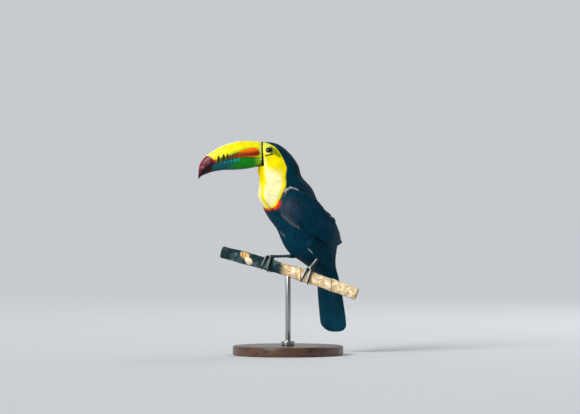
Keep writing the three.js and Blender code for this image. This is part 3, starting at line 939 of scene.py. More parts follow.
def lay_vanes(hull, t, a, length, width, low, high, turn, rows=4, columns=4, ragged=0.22, fringe=0.2,
              shape=None, ridge=0.0, tilt=0.0):
    """Vanes that grow from points of a hull and lie back along it.

    length and width are in millimetres, low and high how far the root and the tip lie out from the
    hull, and turn is the angle in radians by which a vane leans round the hull from straight back.
    tilt lifts one edge and lowers the other. Gives the vanes' points, their own across-and-along
    measures, and each point's share along the hull and angle round it.
    """
    n = len(t)
    t, a = t.copy(), a.copy()
    if shape is None:
        shape = np.array([0.42, 0.86, 1.0, 0.86])
    body_share = 1 - fringe
    step = length * body_share / (rows - 1)
    m = np.linspace(-1, 1, columns + 1)
    grid = np.empty((n, rows * (columns + 1) + columns, 3))
    measure = np.zeros((n, rows * (columns + 1) + columns, 3))
    spot = np.zeros((n, rows * (columns + 1) + columns, 2))
    for k in range(rows):
        p, along, around, out = hull.frame(t, a)
        way = unit(along)
        across = unit(around - way * np.sum(around * way, axis=1, keepdims=True))
        heading = way * np.cos(turn)[:, None] + across * np.sin(turn)[:, None]
        sideways = unit(np.cross(heading, out))
        share = k / (rows - 1) * body_share
        lift = low + (high - low) * share ** 0.8
        half = width * shape[k]
        sag = -0.16 * half[:, None] * m[None] ** 2 + ridge * (np.abs(m[None]) < 0.01)
        sag = sag + tilt * m[None] * shape[k]
        scale_t = np.linalg.norm(along, axis=1)
        scale_a = np.maximum(np.linalg.norm(around, axis=1), 3)
        turned = np.sign(np.sum(sideways * around, axis=1)) / scale_a
        row = (p[:, None] + sideways[:, None] * (half[:, None] * m[None])[..., None]
               + out[:, None] * (lift[:, None] + sag)[..., None])
        start = k * (columns + 1)
        grid[:, start:start + columns + 1] = row
        measure[:, start:start + columns + 1, 0] = half[:, None] * m[None]
        measure[:, start:start + columns + 1, 1] = (length * share)[:, None]
        spot[:, start:start + columns + 1, 0] = t[:, None]
        spot[:, start:start + columns + 1, 1] = a[:, None] + (turned * half)[:, None] * m[None]
        if k < rows - 1:
            t = t + step * np.cos(turn) / scale_t
            a = a + step * np.sin(turn) / scale_a
    middle = (m[:-1] + m[1:]) / 2
    reach = (1 - body_share) * length[:, None] * (1 - 0.75 * middle[None] ** 2)
    reach = reach * (1 + rng.uniform(-ragged, ragged, (n, columns)) * 2)
    tips = (p[:, None] + sideways[:, None] * (half[:, None] * middle[None] * 0.82)[..., None]
            + heading[:, None] * reach[..., None]
            + out[:, None] * (high[:, None] - 0.02 * length[:, None] * np.abs(middle)[None])[..., None])
    grid[:, rows * (columns + 1):] = tips
    measure[:, rows * (columns + 1):, 0] = half[:, None] * middle[None]
    measure[:, rows * (columns + 1):, 1] = length[:, None]
    spot[:, rows * (columns + 1):, 0] = t[:, None] + reach / scale_t[:, None]
    spot[:, rows * (columns + 1):, 1] = a[:, None] + (turned * half)[:, None] * middle[None] * 0.82
    return grid, measure, spot


def coat_piece(name, grid, measure, tints, places, faces, material):
    """Joins vanes into one piece, with each one's tint and its patch of the skin's own map."""
    n, per = grid.shape[:2]
    offset = (np.arange(n) * per)[:, None, None]
    index = [(f[None] + offset).reshape(-1, f.shape[1]) for f in faces]
    verts = grid.reshape(-1, 3)
    piece = mesh_piece(name, verts, index)
    if tints.ndim == 2:
        tints = np.repeat(tints[:, None], per, axis=1)
    give(piece, "tint", tints.reshape(-1, 3), "FLOAT_COLOR")
    give(piece, "vane", measure.reshape(-1, 3), "FLOAT_VECTOR")
    patch = 0.003
    span = np.maximum(np.abs(measure[..., :2]).max(axis=1, keepdims=True), 1e-6)
    local = measure[..., :2] / span * np.array([0.5, 1.0]) + np.array([0.5, 0.0])
    flat = (places[:, None] + (local - 0.5) * patch).reshape(-1, 2)
    set_map(piece, np.clip(flat, 0, 1)[corners_of(piece)])
    piece.data.materials.append(material)
    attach(piece, "root")
    return piece


def scatter(hull, t_range, a_range, spacing, keep=None, seed=1, cells=(260, 200)):
    """Even but unordered places on a hull. spacing(t, a) is in millimetres."""
    made = np.random.default_rng(seed)
    t_edges = np.linspace(*t_range, cells[0] + 1)
    a_edges = np.linspace(*a_range, cells[1] + 1)
    t = (t_edges[:-1] + t_edges[1:]) / 2
    a = (a_edges[:-1] + a_edges[1:]) / 2
    tt, aa = (v.ravel() for v in np.meshgrid(t, a, indexing="ij"))
    _, along, around, _ = hull.frame(tt, aa)
    area = np.linalg.norm(np.cross(along, around), axis=1) * (t[1] - t[0]) * (a[1] - a[0])
    want = 3.0 * area / spacing(tt, aa) ** 2
    count = made.poisson(want)
    tt, aa = np.repeat(tt, count), np.repeat(aa, count)
    tt = tt + made.uniform(-0.5, 0.5, len(tt)) * (t[1] - t[0])
    aa = aa + made.uniform(-0.5, 0.5, len(aa)) * (a[1] - a[0])
    order = made.permutation(len(tt))
    tt, aa = tt[order], aa[order]
    p = hull.bare(tt, aa)
    apart = spacing(tt, aa) * 0.76
    tree = point_tree(p)
    dead = np.zeros(len(p), bool)
    kept = []
    for i in range(len(p)):
        if dead[i]:
            continue
        kept.append(i)
        for _, j, _ in tree.find_range(p[i], apart[i]):
            dead[j] = True
    tt, aa = tt[kept], aa[kept]
    if keep is not None:
        chosen = keep(tt, aa, hull.bare(tt, aa))
        tt, aa = tt[chosen], aa[chosen]
    return tt, aa


def body_places(t, a):
    """Each point's place on the body's own unwrapped map, whose seam runs down the back."""
    turn = ((a - 0.5 * np.pi) % (2 * np.pi)) / (2 * np.pi)
    return np.stack([0.01 + 0.58 * turn, 0.01 + 0.98 * np.clip(t, 0, 1)], -1)


def wing_places(t, a, side):
    """Places on the wings' own map, beside the body's."""
    turn = (a % (2 * np.pi)) / (2 * np.pi)
    low = {"left": 0.02, "right": 0.27}[side]
    return np.stack([0.62 + 0.36 * np.clip(t, 0, 1), low + 0.22 * turn], -1)


def plain_places(t, a, low_u, low_v, size):
    """Places on a small map of their own, for a thigh, a lid or the tail."""
    turn = (a % (2 * np.pi)) / (2 * np.pi)
    return np.stack([low_u + size * np.clip(t, 0, 1), low_v + size * turn], -1)


# ---- The skin ----

def merged_copy(names, name):
    """One object from copies of these nodes, with their loose triangles merged."""
    deselect()
    copies = []
    for node in names:
        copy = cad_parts[node].copy()
        copy.data = copy.data.copy()
        copy.name = name + "_" + node
        copy.hide_render = copy.hide_viewport = False
        copy.parent = None
        copy.matrix_world.identity()
        bpy.context.scene.collection.objects.link(copy)
        copies.append(copy)
    bpy.context.view_layer.update()
    for copy in copies:
        copy.select_set(True)
    bpy.context.view_layer.objects.active = copies[0]
    if len(copies) > 1:
        bpy.ops.object.join()
    piece = bpy.context.view_layer.objects.active
    piece.name = name
    bpy.ops.object.mode_set(mode="EDIT")
    bpy.ops.mesh.select_all(action="SELECT")
    bpy.ops.mesh.remove_doubles(threshold=1e-6)
    bpy.ops.object.mode_set(mode="OBJECT")
    return piece


def apply_modifier(piece, kind, **settings):
    only(piece)
    modifier = piece.modifiers.new(kind.lower(), kind)
    for key, value in settings.items():
        setattr(modifier, key, value)
    bpy.ops.object.modifier_apply(modifier=modifier.name)


def nearest_on_body(p):
    """The shares along and angles round the body of its hull's points nearest to p."""
    t, a = np.meshgrid(np.linspace(0, 1, 320), np.arange(150) / 150 * 2 * np.pi, indexing="ij")
    t, a = t.ravel(), a.ravel()
    tree = point_tree(BODY.bare(t, a))
    found = np.array([tree.find(co)[1] for co in p])
    return t[found], a[found]


def add_chin(skin):
    """Joins the chin's small swelling, beneath the lower bill, to the skin."""
    deselect()
    bpy.ops.mesh.primitive_uv_sphere_add(
        segments=32, ring_count=16, radius=CHIN_RADIUS * MM, location=tuple(from_head(CHIN) * MM))
    chin = bpy.context.active_object
    chin.scale = (1.0, 1.45, 1.0)
    bpy.ops.object.transform_apply(location=True, rotation=True, scale=True)
    skin.select_set(True)
    bpy.context.view_layer.objects.active = skin
    bpy.ops.object.join()


def draw_in_wing_ends(skin):
    """Shortens the wings' ends, which only the long feathers reach."""
    p = points_of(skin)
    forward, left = facing(float(WING_YAW))
    start = 223.0
    off = (p - PELVIS) @ left
    for mirror in (1, -1):
        centre = PELVIS - 54 * forward + 21 * mirror * left
        centre[2] = start
        behind = (p - PELVIS) @ forward < -44
        chosen = behind & (p[:, 2] < start) & (off * mirror > 0)
        share = 0.75 * smooth(start, start - 11, p[chosen, 2])
        p[chosen] = p[chosen] + (centre - p[chosen]) * share[:, None]
    move_points(skin, p)


def thickness(piece, p, normals):
    """How thick a piece is beneath each of its points, in millimetres, up to 20."""
    tree = BVHTree.FromObject(piece, bpy.context.evaluated_depsgraph_get())
    found = np.full(len(p), 20.0)
    for i in range(len(p)):
        start = Vector((p[i] - normals[i] * 0.2) * MM)
        hit = tree.ray_cast(start, Vector(-normals[i].astype(float)), 0.02)
        if hit[0] is not None:
            found[i] = hit[3] / MM + 0.2
    return found


def make_skin():
    """One seamless skin over head, neck, trunk, thighs and wings, inside them by the coat's depth."""
    nodes = ["head", "neck", "trunk", "thigh_left", "thigh_right", "wing_left", "wing_right"]
    skin = merged_copy(nodes, "skin")
    draw_in_wing_ends(skin)
    add_chin(skin)
    apply_modifier(skin, "DISPLACE", strength=0.0003, mid_level=0.0)
    cell = 0.0017
    apply_modifier(skin, "REMESH", mode="VOXEL", voxel_size=cell, use_smooth_shade=True)
    apply_modifier(skin, "SMOOTH", factor=0.5, iterations=8)
    p = points_of(skin)
    t, a = nearest_on_body(p)
    normals = np.empty(len(p) * 3, np.float32)
    skin.data.vertices.foreach_get("normal", normals)
    normals = normals.reshape(-1, 3)
    head = to_head(p)
    bare = smooth(-0.5, 2.0, distance_to_outline(BARE_SKIN, head[:, 0], head[:, 2]))
    bare = bare * (np.abs(head[:, 1]) > 12)
    depth = coat_depth(t) * (1 - bare) + 0.35 * bare
    depth = np.minimum(depth, 0.36 * thickness(skin, p, normals))
    moved = p - normals * depth[:, None]
    move_points(skin, moved)
    in_bib = (from_front(a) < bib_angle(t)) & (t < BIB_END)
    tints = markings(t, a, p) * (1 - np.where(in_bib, 0.12, 0.35) * (1 - bare))[:, None]
    give(skin, "tint", tints, "FLOAT_COLOR")
    index = corners_of(skin)
    places = body_places(t, a)[index]
    starts = np.empty(len(skin.data.polygons), np.int32)
    skin.data.polygons.foreach_get("loop_start", starts)
    total = np.empty(len(starts), np.int32)
    skin.data.polygons.foreach_get("loop_total", total)
    first = np.repeat(places[starts, 0], total)
    places[:, 0] = np.where(places[:, 0] - first > 0.29, places[:, 0] - 0.58, places[:, 0])
    places[:, 0] = np.where(places[:, 0] - first < -0.29, places[:, 0] + 0.58, places[:, 0])
    set_map(skin, np.clip(places, 0, 1))
    skin.data.materials.clear()
    skin.data.materials.append(skin_material())
    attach(skin, "root")
    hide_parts(*nodes)
    return skin


# ---- The body's coat ----

def wing_cover(side):
    """A test that tells which points of the body lie well under a folded wing."""
    piece = merged_copy(["wing_" + side], "wing_test_" + side)
    tree = BVHTree.FromObject(piece, bpy.context.evaluated_depsgraph_get())
    bpy.data.objects.remove(piece)
    return tree


def under_wings(covers, p, along, out):
    """Which points of the body have a wing over them both a little ahead and a little behind."""
    ahead = unit(along) * 6
    hidden = np.ones(len(p), bool)
    for shift in (-ahead, ahead):
        under = np.zeros(len(p), bool)
        for tree in covers:
            for i in np.flatnonzero(~under):
                hit = tree.ray_cast(Vector((p[i] + shift[i]) * MM), Vector(out[i]), 0.012)
                under[i] = hit[0] is not None
        hidden &= under
    return hidden


def body_spacing(t, a):
    """How far apart the body's feathers stand, closest on the face."""
    shares = [0, 0.05, 0.15, 0.25, 0.36, 0.5, 0.7, 0.85, 1]
    size = np.interp(t, shares, [0.8, 0.84, 1.06, 1.4, 1.75, 2.3, 2.7, 2.8, 3.0])
    in_bib = smooth(6, -4, from_front(a) - bib_angle(t)) * (t < 0.54)
    size = size * (1 - 0.12 * in_bib)
    return size * 1.0


def body_feather_sizes(t, front, in_bib):
    """Each feather's length and half-width, shortest on the face."""
    n = len(t)
    shares = [0, 0.04, 0.12, 0.25, 0.4, 0.55, 0.8, 0.9, 1]
    length = np.interp(t, shares, [3.4, 4.4, 6.5, 9.5, 12, 14, 17, 20, 22])
    ventral = smooth(80, 60, front) * smooth(0.82, 0.88, t)
    length = length * (1 - 0.45 * ventral) * rng.uniform(0.88, 1.12, n)
    shares = [0, 0.04, 0.12, 0.25, 0.4, 0.55, 0.8, 1]
    width = np.interp(t, shares, [0.6, 0.68, 0.9, 1.35, 2.0, 2.5, 3.1, 3.5])
    return length, width * np.where(in_bib, 0.82, 1) * rng.uniform(0.88, 1.12, n)


def body_feather_lift(t, a, in_bib):
    """How far out each feather's root and tip lie, with the bib's parting and the chin."""
    low = -coat_depth(t) * np.where(in_bib, 0.7, 1) + 0.15
    high = -0.12 + rng.uniform(-0.28, 0.1, len(t)) * np.where(in_bib, 0.4, 1)
    parting = smooth(8, 2, np.abs(to_left(a) - parting_angle(t)))
    high = high - 1.1 * (parting * smooth(0.3, 0.36, t) * smooth(0.54, 0.48, t))
    chin = 4.4 * smooth(0.28, 0.05, t) * smooth(46, 12, from_front(a)) * smooth(-0.01, 0.03, t)
    return low + 0.8 * chin, high + chin


def make_body_coat(material):
    covers = [wing_cover("left"), wing_cover("right")]

    def keep(t, a, p):
        head = to_head(p)
        bare = distance_to_outline(BARE_SKIN, head[:, 0], head[:, 2]) > 0.3
        bare &= np.abs(head[:, 1]) > 12
        _, along, _, out = BODY.frame(t, a)
        return ~bare & ~under_wings(covers, p, along, out)

    t, a = scatter(BODY, (0.004, 0.985), (0, 2 * np.pi), body_spacing, keep, seed=3)
    n = len(t)
    front = from_front(a)
    in_bib = (front < bib_angle(t) + 3) & (t < 0.53)
    length, width = body_feather_sizes(t, front, in_bib)
    low, high = body_feather_lift(t, a, in_bib)
    turn = rng.normal(0, 0.08, n)
    grid, measure, spot = lay_vanes(
        BODY, t, a, length, width, low, high, turn, 4, 4, 0.2, 0.16, np.array([0.45, 0.86, 1.0, 0.84]))
    per = grid.shape[1]
    jitter = np.repeat(rng.normal(0, 0.22, n), per)
    flat_t, flat_a = np.clip(spot[..., 0].ravel(), 0, 1), spot[..., 1].ravel()
    tints = markings(flat_t, flat_a, BODY.bare(flat_t, flat_a), jitter).reshape(n, per, 3)
    spread = np.where(in_bib, 0.05, 0.15)
    tints = tints * (1 + spread * rng.uniform(-1, 1, n))[:, None, None]
    places = body_places(t, a)
    faces = vane_faces(4, 4)
    bounds = {
        "coat_face": (0, 0.13), "coat_head": (0.13, 0.24), "coat_throat": (0.24, 0.33),
        "coat_neck": (0.33, 0.42), "coat_breast": (0.42, 0.6), "coat_belly": (0.6, 1.01),
    }
    for name, (low_t, high_t) in bounds.items():
        chosen = (t >= low_t) & (t < high_t)
        coat_piece(name, grid[chosen], measure[chosen], tints[chosen], places[chosen], faces, material)


# ---- The bill ----

EDGE_RISE = 0.018  # the horn's visible cutting edge, in shares of the bill's length
ORANGE_PATCH = (
    (4.9, 9.4), (9.8, 17.4), (18, 19), (26.7, 17.4), (37.4, 13.8), (45, 11), (54, 7.8), (60.6, 4.4),
    (67, 0.4), (64.5, -3), (50, -1.2), (40.3, 0.4), (25.8, 1.2), (11.2, 2.4), (6.2, 5.4),
)
DARK_TIP = (
    (112, 12), (107, 4), (102, 3.4), (97, 0.8), (92, -3.4), (88, -9), (85.5, -14), (88, -24),
    (128, -60), (145, -20), (125, 25),
)
SPIKES = ((83.0, 5.4, 2.4), (73.4, 8.0, 2.8), (66.0, 9.4, 1.7))  # place, top and half-width of each
EDGE_SPOTS = ((45.5, 0.95), (52.0, 1.0), (58.5, 0.55), (64.5, 0.5), (71.0, 0.6), (79.0, 0.35))


def bill_hull(upper):
    rows = np.array(BILL_SECTIONS, float)
    edge = np.stack([rows[:, 0], 0 * rows[:, 0], rows[:, 1]], -1)
    middle = np.sin(np.pi * np.clip(rows[:, 0] / 0.95, 0, 1)) ** 0.7
    edge[:, 2] += EDGE_RISE * middle + (0 if upper else 0.2) / BILL_LENGTH
    first = 2 if upper else 4
    far = np.stack([rows[:, first], 0 * rows[:, 0], rows[:, first + 1]], -1)
    width = BILL_HALF_WIDTH * rows[:, 6] * (1 if upper else LOWER_BILL_WIDTH)
    side = np.stack([0 * width, width, 0 * width], -1)
    up = (far - edge) * BILL_LENGTH
    return Hull(edge * BILL_LENGTH, side, up, up * 0, 2.15 if upper else 2.4, (0.001, 0.3))


def edge_height(x):
    rows = np.array(BILL_SECTIONS)
    return np.interp(x / BILL_LENGTH, rows[:, 0], rows[:, 1] + EDGE_RISE * 0.8) * BILL_LENGTH


def upper_bill_tint(x, z, top):
    yellow = linear(250, 240, 0)
    # Painted highlight: a pale strip along the top of the culmen, stronger towards the tip.
    painted_culmen_highlight = smooth(0.89, 0.96, top) * (0.25 + 0.7 * smooth(40, 62, x))
    color = mix(yellow, linear(255, 252, 204), painted_culmen_highlight)
    patch = distance_to_outline(ORANGE_PATCH, x, z)
    color = mix(color, linear(150, 190, 0), smooth(-6.5, -0.5, patch) * 0.75 * smooth(25, 16, z))
    color = mix(color, linear(150, 200, 0), smooth(9, 2, x) * 0.45)
    over_edge = z - edge_height(x)
    olive = smooth(9.5, 5.5, over_edge + 1.2 * np.sin(x * 1.1)) * smooth(44, 60, x)
    color = mix(color, linear(98, 72, 14), olive * 0.95)
    base_line = smooth(1.5, 0.5, np.abs(x - 3.9)) * smooth(0.12, 0.3, top)
    color = mix(color, linear(224, 230, 170), base_line * 0.5)
    orange = mix(linear(126, 38, 0), linear(250, 110, 0), smooth(8, 16, z + 0.16 * (x - 18)))
    orange = mix(orange, linear(108, 58, 16), smooth(34, 56, x))
    orange = mix(orange, linear(222, 58, 0), smooth(3.0, 1.2, z - edge_height(x)) * smooth(58, 40, x))
    color = mix(color, orange, smooth(-0.9, 0.9, patch))
    for place, height, half in SPIKES:
        share = np.clip((height - z) / 6, 0, 1)
        spike = smooth(1.2, 0.6, np.abs(x - place) / (half * share + 0.35)) * smooth(0.02, 0.2, share)
        color = mix(color, linear(16, 52, 12), spike * smooth(0.6, 1.4, over_edge))
    tip = distance_to_outline(DARK_TIP, x, z)
    maroon = mix(linear(104, 26, 44), linear(18, 6, 10), smooth(9, 3, z - edge_height(x)))
    flat = np.stack([x, 0 * x, z], -1)
    # Painted highlights: soft pinkish flecks on the maroon tip.
    painted_highlight_flecks = 0.65 * wobble(flat, 11, 61) + 0.35 * wobble(flat, 3, 62)
    maroon = mix(maroon, linear(190, 118, 126), smooth(0.25, 0.8, painted_highlight_flecks) * smooth(1, 5, over_edge) * 0.5)
    maroon = mix(maroon, linear(150, 0, 18), smooth(4.5, 2.0, tip))
    maroon = mix(maroon, linear(140, 0, 16), smooth(0.82, 0.95, top))
    color = mix(color, maroon, smooth(-0.6, 0.6, tip))
    return mix(color, linear(3, 4, 5), smooth(2.4, 1.6, x))


def lower_bill_tint(x, z, bottom):
    """bottom is 0 at the cutting edge and 1 along the keel."""
    color = mix(linear(0, 124, 8), linear(0, 84, 84), smooth(50, 72, x + 10 * (1 - bottom)))
    color = mix(color, linear(122, 168, 12), smooth(18, 5, x))
    for place, bright in EDGE_SPOTS:
        spot = smooth(2.4, 0.8, np.hypot(x - place, 16 * (bottom - 0.15)))
        color = mix(color, linear(0, 176, 198), spot * bright)
    bands = 0.5 + 0.5 * np.sin((x + 5 * bottom) * 1.45)
    color = mix(color, linear(0, 60, 84), bands**2 * smooth(50, 64, x) * smooth(0.95, 0.4, bottom) * 0.55)
    color = mix(color, linear(0, 56, 104), smooth(0.86, 0.98, bottom) * smooth(20, 34, x))
    maroon = mix(linear(60, 10, 22), linear(20, 8, 12), smooth(0.7, 0.2, bottom))
    color = mix(color, maroon, smooth(91, 98, x))
    cream = smooth(3.2, 1.6, np.hypot(x - 1.5, z + 2.5))
    color = mix(color, linear(236, 232, 150), cream)
    color = mix(color, linear(3, 4, 5), smooth(0.76, 0.86, bottom) * smooth(13, 9, x))
    return mix(color, linear(3, 4, 5), smooth(2.4, 1.6, x))


def make_bill(upper, material):
    hull = bill_hull(upper)
    a = np.concatenate([np.linspace(0, np.pi, 121), np.linspace(np.pi, 2 * np.pi, 9)[1:-1]])

    def carve(t, angle, p):
        x = p[:, 0]
        rim = 0.35 * smooth(2.2, 0.4, x)
        low = np.abs(np.sin(angle))
        teeth = np.clip(np.sin(x * 0.72 + 0.9 * np.sin(x * 0.21)), 0, 1) ** 3
        teeth = teeth * smooth(14, 34, x) * smooth(84, 74, x)
        wave = 0.16 * wobble(p, 26, 5 if upper else 6)
        groove = -0.4 * smooth(0.10, 0.03, np.abs(low - 0.86)) * smooth(4, 14, x) * smooth(40, 22, x) * upper
        outer = angle <= np.pi + 1e-6
        return (rim + wave + groove - 0.75 * teeth * smooth(0.32, 0.05, low)) * outer

    name = "upper_bill" if upper else "lower_bill"
    t = 1 - (1 - np.linspace(0, 0.9985, 300)) ** 1.12
    piece, _, aa, p = tube(name, hull, 0, 0, True, carve, t, a)
    height = np.abs(np.sin(aa)) * (aa <= np.pi + 1e-6)
    if upper:
        tint = upper_bill_tint(p[:, 0], p[:, 2], height)
    else:
        tint = lower_bill_tint(p[:, 0], p[:, 2], height)
    give(piece, "tint", tint, "FLOAT_COLOR")
    move_points(piece, from_head(p))
    node = "bill_upper" if upper else "bill_lower"
    finish(piece, material, [node])


def finish(piece, material, nodes=()):
    """Gives a piece its finish, its body and the nodes that it stands for."""
    piece.data.materials.clear()
    piece.data.materials.append(material)
    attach(piece, "root")
    if nodes:
        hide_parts(*nodes)


# ---- Eyes ----

def make_eye(side, material):
    mirror = 1 if side == "left" else -1
    centre = np.array([EYE_CENTRE[0], EYE_CENTRE[1] * mirror, EYE_CENTRE[2]])
    deselect()
    place = tuple(from_head(centre) * MM)
    bpy.ops.mesh.primitive_uv_sphere_add(segments=56, ring_count=36, radius=EYE_RADIUS * MM, location=place)
    piece = bpy.context.active_object
    piece.name = "eyeball_" + side
    bpy.ops.object.transform_apply(location=True, rotation=True, scale=True)
    bpy.ops.object.shade_smooth()
    p = points_of(piece)
    away = unit(p - from_head(centre))
    ahead = unit(from_head(centre + np.array([0.15, mirror, 0.05])) - from_head(centre))
    angle = np.degrees(np.arccos(np.clip(away @ ahead, -1, 1)))
    clear = unit(from_head(centre + np.array([0.3, mirror, 0.4])) - from_head(centre))
    tilt = np.degrees(np.arccos(np.clip(away @ clear, -1, 1)))
    flatter = 0.68 * np.clip(1 - (tilt / 52) ** 2, 0, 1) ** 2
    moved = p - away * (flatter + 0.05)[:, None]
    move_points(piece, moved)
    give(piece, "iris", smooth(20, 23, angle) * smooth(46, 40, angle), "FLOAT")
    finish(piece, material, ["eye_" + side])


def make_lids(side, skin_tree, material):
    """An almond opening in bare skin, with a dark rim, over the eyeball."""
    mirror = 1 if side == "left" else -1
    x0, _, z0 = EYE_CENTRE
    count = 64
    angle = np.arange(count) / count * 2 * np.pi
    narrow = 1 - 0.16 * np.abs(np.sin(angle)) ** 1.5
    steps = np.array([0.0, 0.1, 0.28, 0.5, 0.75, 1.0])
    rows = []
    for share in steps:
        radius = (4.6 * narrow) * (1 - share) + 8.6 * share
        x, z = x0 + radius * np.cos(angle), z0 + radius * np.sin(angle)
        over = np.sqrt(np.maximum((EYE_RADIUS + 0.2) ** 2 - radius**2, 0)) + EYE_CENTRE[1]
        outer = np.empty(count)
        for i in range(count):
            start = from_head(np.array([x[i], mirror * 60, z[i]])) * MM
            way = Vector(from_head(np.array([0, -mirror, 0])) - GAPE)
            hit = skin_tree.ray_cast(Vector(start), way)
            depth = 60 - (hit[3] / MM if hit[0] is not None else 60 - 20)
            outer[i] = depth
        blend = smooth(0.1, 1.0, share)
        y = np.maximum(over * (1 - blend) + (outer - 0.25) * blend, outer - 0.25)
        y = y + 0.55 * np.exp(-((share - 0.14) / 0.12) ** 2)
        rows.append(np.stack([x, y * mirror, z], -1))
    p = np.concatenate(rows)
    j = np.arange(count)
    i = np.arange(len(steps) - 1)[:, None] * count
    k = (j + 1) % count
    quads = np.stack([i + j, i + k, i + count + k, i + count + j], -1).reshape(-1, 4)
    if mirror > 0:
        quads = quads[:, ::-1]
    piece = mesh_piece("lids_" + side, from_head(p), [quads])
    far = np.hypot(p[:, 0] - x0, p[:, 2] - z0)
    behind = smooth(-1, 5, x0 - p[:, 0])
    tint = mix(linear(240, 242, 84), linear(28, 62, 16), behind)
    tint = mix(tint, linear(122, 138, 6), smooth(6.0, 8.0, far) * behind)
    rim = 4.4 + 1.0 * smooth(0, 4, p[:, 0] - x0)
    tint = mix(linear(3, 4, 5), tint, smooth(0, 1.0, far - rim))
    # Painted shade in the fold beneath the eye.
    tint = mix(tint, linear(14, 44, 14), painted_eye_fold_shade(p) * 0.85)
    give(piece, "tint", tint, "FLOAT_COLOR")
    apply_modifier(piece, "SOLIDIFY", thickness=0.0004, offset=-1)
    apply_modifier(piece, "SUBSURF", levels=1, render_levels=1)
    finish(piece, material)


# ---- Wings ----

def wing_tint(t, a, n):
    """Near-black teal, with a painted greyish mauve sheen where the wing bends."""
    # Painted sheen at the wing's bend.
    painted_sheen = smooth(0.0, 0.04, t) * smooth(0.26, 0.08, t) * smooth(2.2, 0.9, a)
    color = mix(np.tile(TEAL_BLACK, (n, 1)), np.tile(PAINTED_SHEEN_MAUVE, (n, 1)), painted_sheen * 0.6)
    return color * rng.uniform(0.85, 1.2, n)[:, None]


def make_wing_coverts(side, material):
    hull = WINGS[side]

    def spacing(t, a):
        return np.interp(t, [0, 0.1, 0.3, 0.45, 0.6], [2.6, 3.2, 4.6, 6.4, 8.0]) * 1.0

    t, a = scatter(hull, (0.0, 0.5), (-0.75, 3.95), spacing, None, seed=11, cells=(90, 90))
    n = len(t)
    length = np.interp(t, [0, 0.1, 0.3, 0.42, 0.6], [7, 9, 15, 23, 30]) * rng.uniform(0.9, 1.1, n)
    width = np.interp(t, [0, 0.1, 0.3, 0.42, 0.6], [1.9, 2.5, 3.8, 5.2, 6.4]) * rng.uniform(0.92, 1.08, n)
    low = np.full(n, -1.5)
    high = rng.uniform(-0.35, 0.05, n)
    turn = rng.normal(0.0, 0.06, n)
    shape = np.array([0.42, 0.84, 1.0, 0.98, 0.8])
    grid, measure, _ = lay_vanes(hull, t, a, length, width, low, high, turn, 5, 6, 0.12, 0.12, shape)
    faces = vane_faces(5, 6)
    return coat_piece(
        "wing_coverts_" + side, grid, measure, wing_tint(t, a, n), wing_places(t, a, side), faces,
        material,
    )


FLIGHT_SHAPE = np.array([
    0.3, 0.55, 0.76, 0.88, 0.95, 0.99, 1.0, 1.0, 1.0, 0.99, 0.97, 0.93, 0.86, 0.74, 0.54, 0.26,
])


def make_flight_feathers(side, material):
    """Ten primaries below, then secondaries, then tertials that lie over them along the back."""
    hull = WINGS[side]
    rows = []
    for i in range(10):
        share = i / 9
        rows.append((0.36 + 0.03 * share, 0.3 + 1.4 * share, 0.72 + 0.2 * share**1.7, 5.6, -1.9 + 0.07 * i))
    for i in range(10):
        share = i / 9
        rows.append((0.30 + 0.02 * share, 1.15 + 1.2 * share, 0.8 - 0.06 * share, 6.4, -1.1 + 0.07 * i))
    for i in range(5):
        share = i / 4
        rows.append((0.26, 2.25 + 0.55 * share, 0.74 - 0.12 * share, 7.4, -0.5 + 0.1 * i))
    t, a, end, width, high = np.array(rows).T
    n = len(t)
    length = np.array([
        np.linalg.norm(np.diff(hull.bare(np.linspace(lo, hi, 40), np.full(40, angle)), axis=0), axis=1).sum()
        for lo, hi, angle in zip(t, end, a)
    ])
    low = high - 1.6
    grid, measure, _ = lay_vanes(
        hull, t, a, length, width, low, high, np.zeros(n), 16, 8, 0.05, 0.025, FLIGHT_SHAPE, 0.22,
        0.5 if side == "left" else -0.5)
    faces = vane_faces(16, 8)
    tints = np.tile(TEAL_BLACK, (n, 1)) * rng.uniform(0.72, 1.25, n)[:, None]
    piece = coat_piece(
        "flight_feathers_" + side, grid, measure, tints, wing_places(t, a, side), faces,
        material,
    )
    apply_modifier(piece, "SOLIDIFY", thickness=0.0003, offset=-1)
    return piece


# ---- Tail ----

def tail_plane():
    """The tail's middle sheet, which its feathers lie on one over another."""
    forward, left = facing(float(TAIL_YAW))
    z, x, y, wide, _ = np.array(TAIL_SECTIONS, float).T
    at = np.stack([x, y, z], -1)
    thin = np.tile(-forward * 0.6, (len(at), 1))
    return Hull(at, left * wide[:, None], thin, -thin, 2.0)


def make_tail_feathers(material):
    """Ten feathers. The outermost lie nearest the belly, and the middle pair lies over the back."""
    plane = tail_plane()
    share = np.array([-1, 1, -0.78, 0.78, -0.56, 0.56, -0.34, 0.34, -0.12, 0.12])
    far = np.abs(share)
    n = len(share)
    width = 11.6 + 0.8 * far
    reach = (31 - width) / 31
    a = 1.5 * np.pi + np.arcsin(share * reach)
    t = np.full(n, 0.06)
    length = 144.0 - np.where(share < 0, 8.5, 3.0) * far**3
    high = 0.1 + 2.3 * (far - 0.5) * 1.7
    shares, widths = [0, 0.2, 0.5, 0.86, 0.93, 0.97, 1], [0.35, 0.8, 1, 1, 0.98, 0.88, 0.55]
    shape = np.interp(np.linspace(0, 1, 26), shares, widths)
    grid, measure, _ = lay_vanes(
        plane, t, a, length, width, high * 0.7, high, np.zeros(n), 26, 10, 0.04, 0.012, shape, 0.35)
    faces = vane_faces(26, 10)
    tints = np.tile(linear(0, 60, 80), (n, 1)) * rng.uniform(0.85, 1.2, n)[:, None]
    piece = coat_piece(
        "tail_feathers", grid, measure, tints, plain_places(t, a, 0.63, 0.52, 0.3), faces,
        material,
    )
    apply_modifier(piece, "SOLIDIFY", thickness=0.0004, offset=0)
    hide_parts("tail")
    return piece


# ---- Legs ----

def perch_axis(x):
    x = np.asarray(x, float)
    return np.stack([x, PERCH_SWING * x, PERCH_HEIGHT - PERCH_FALL * x - PERCH_BOW * x * x], -1)


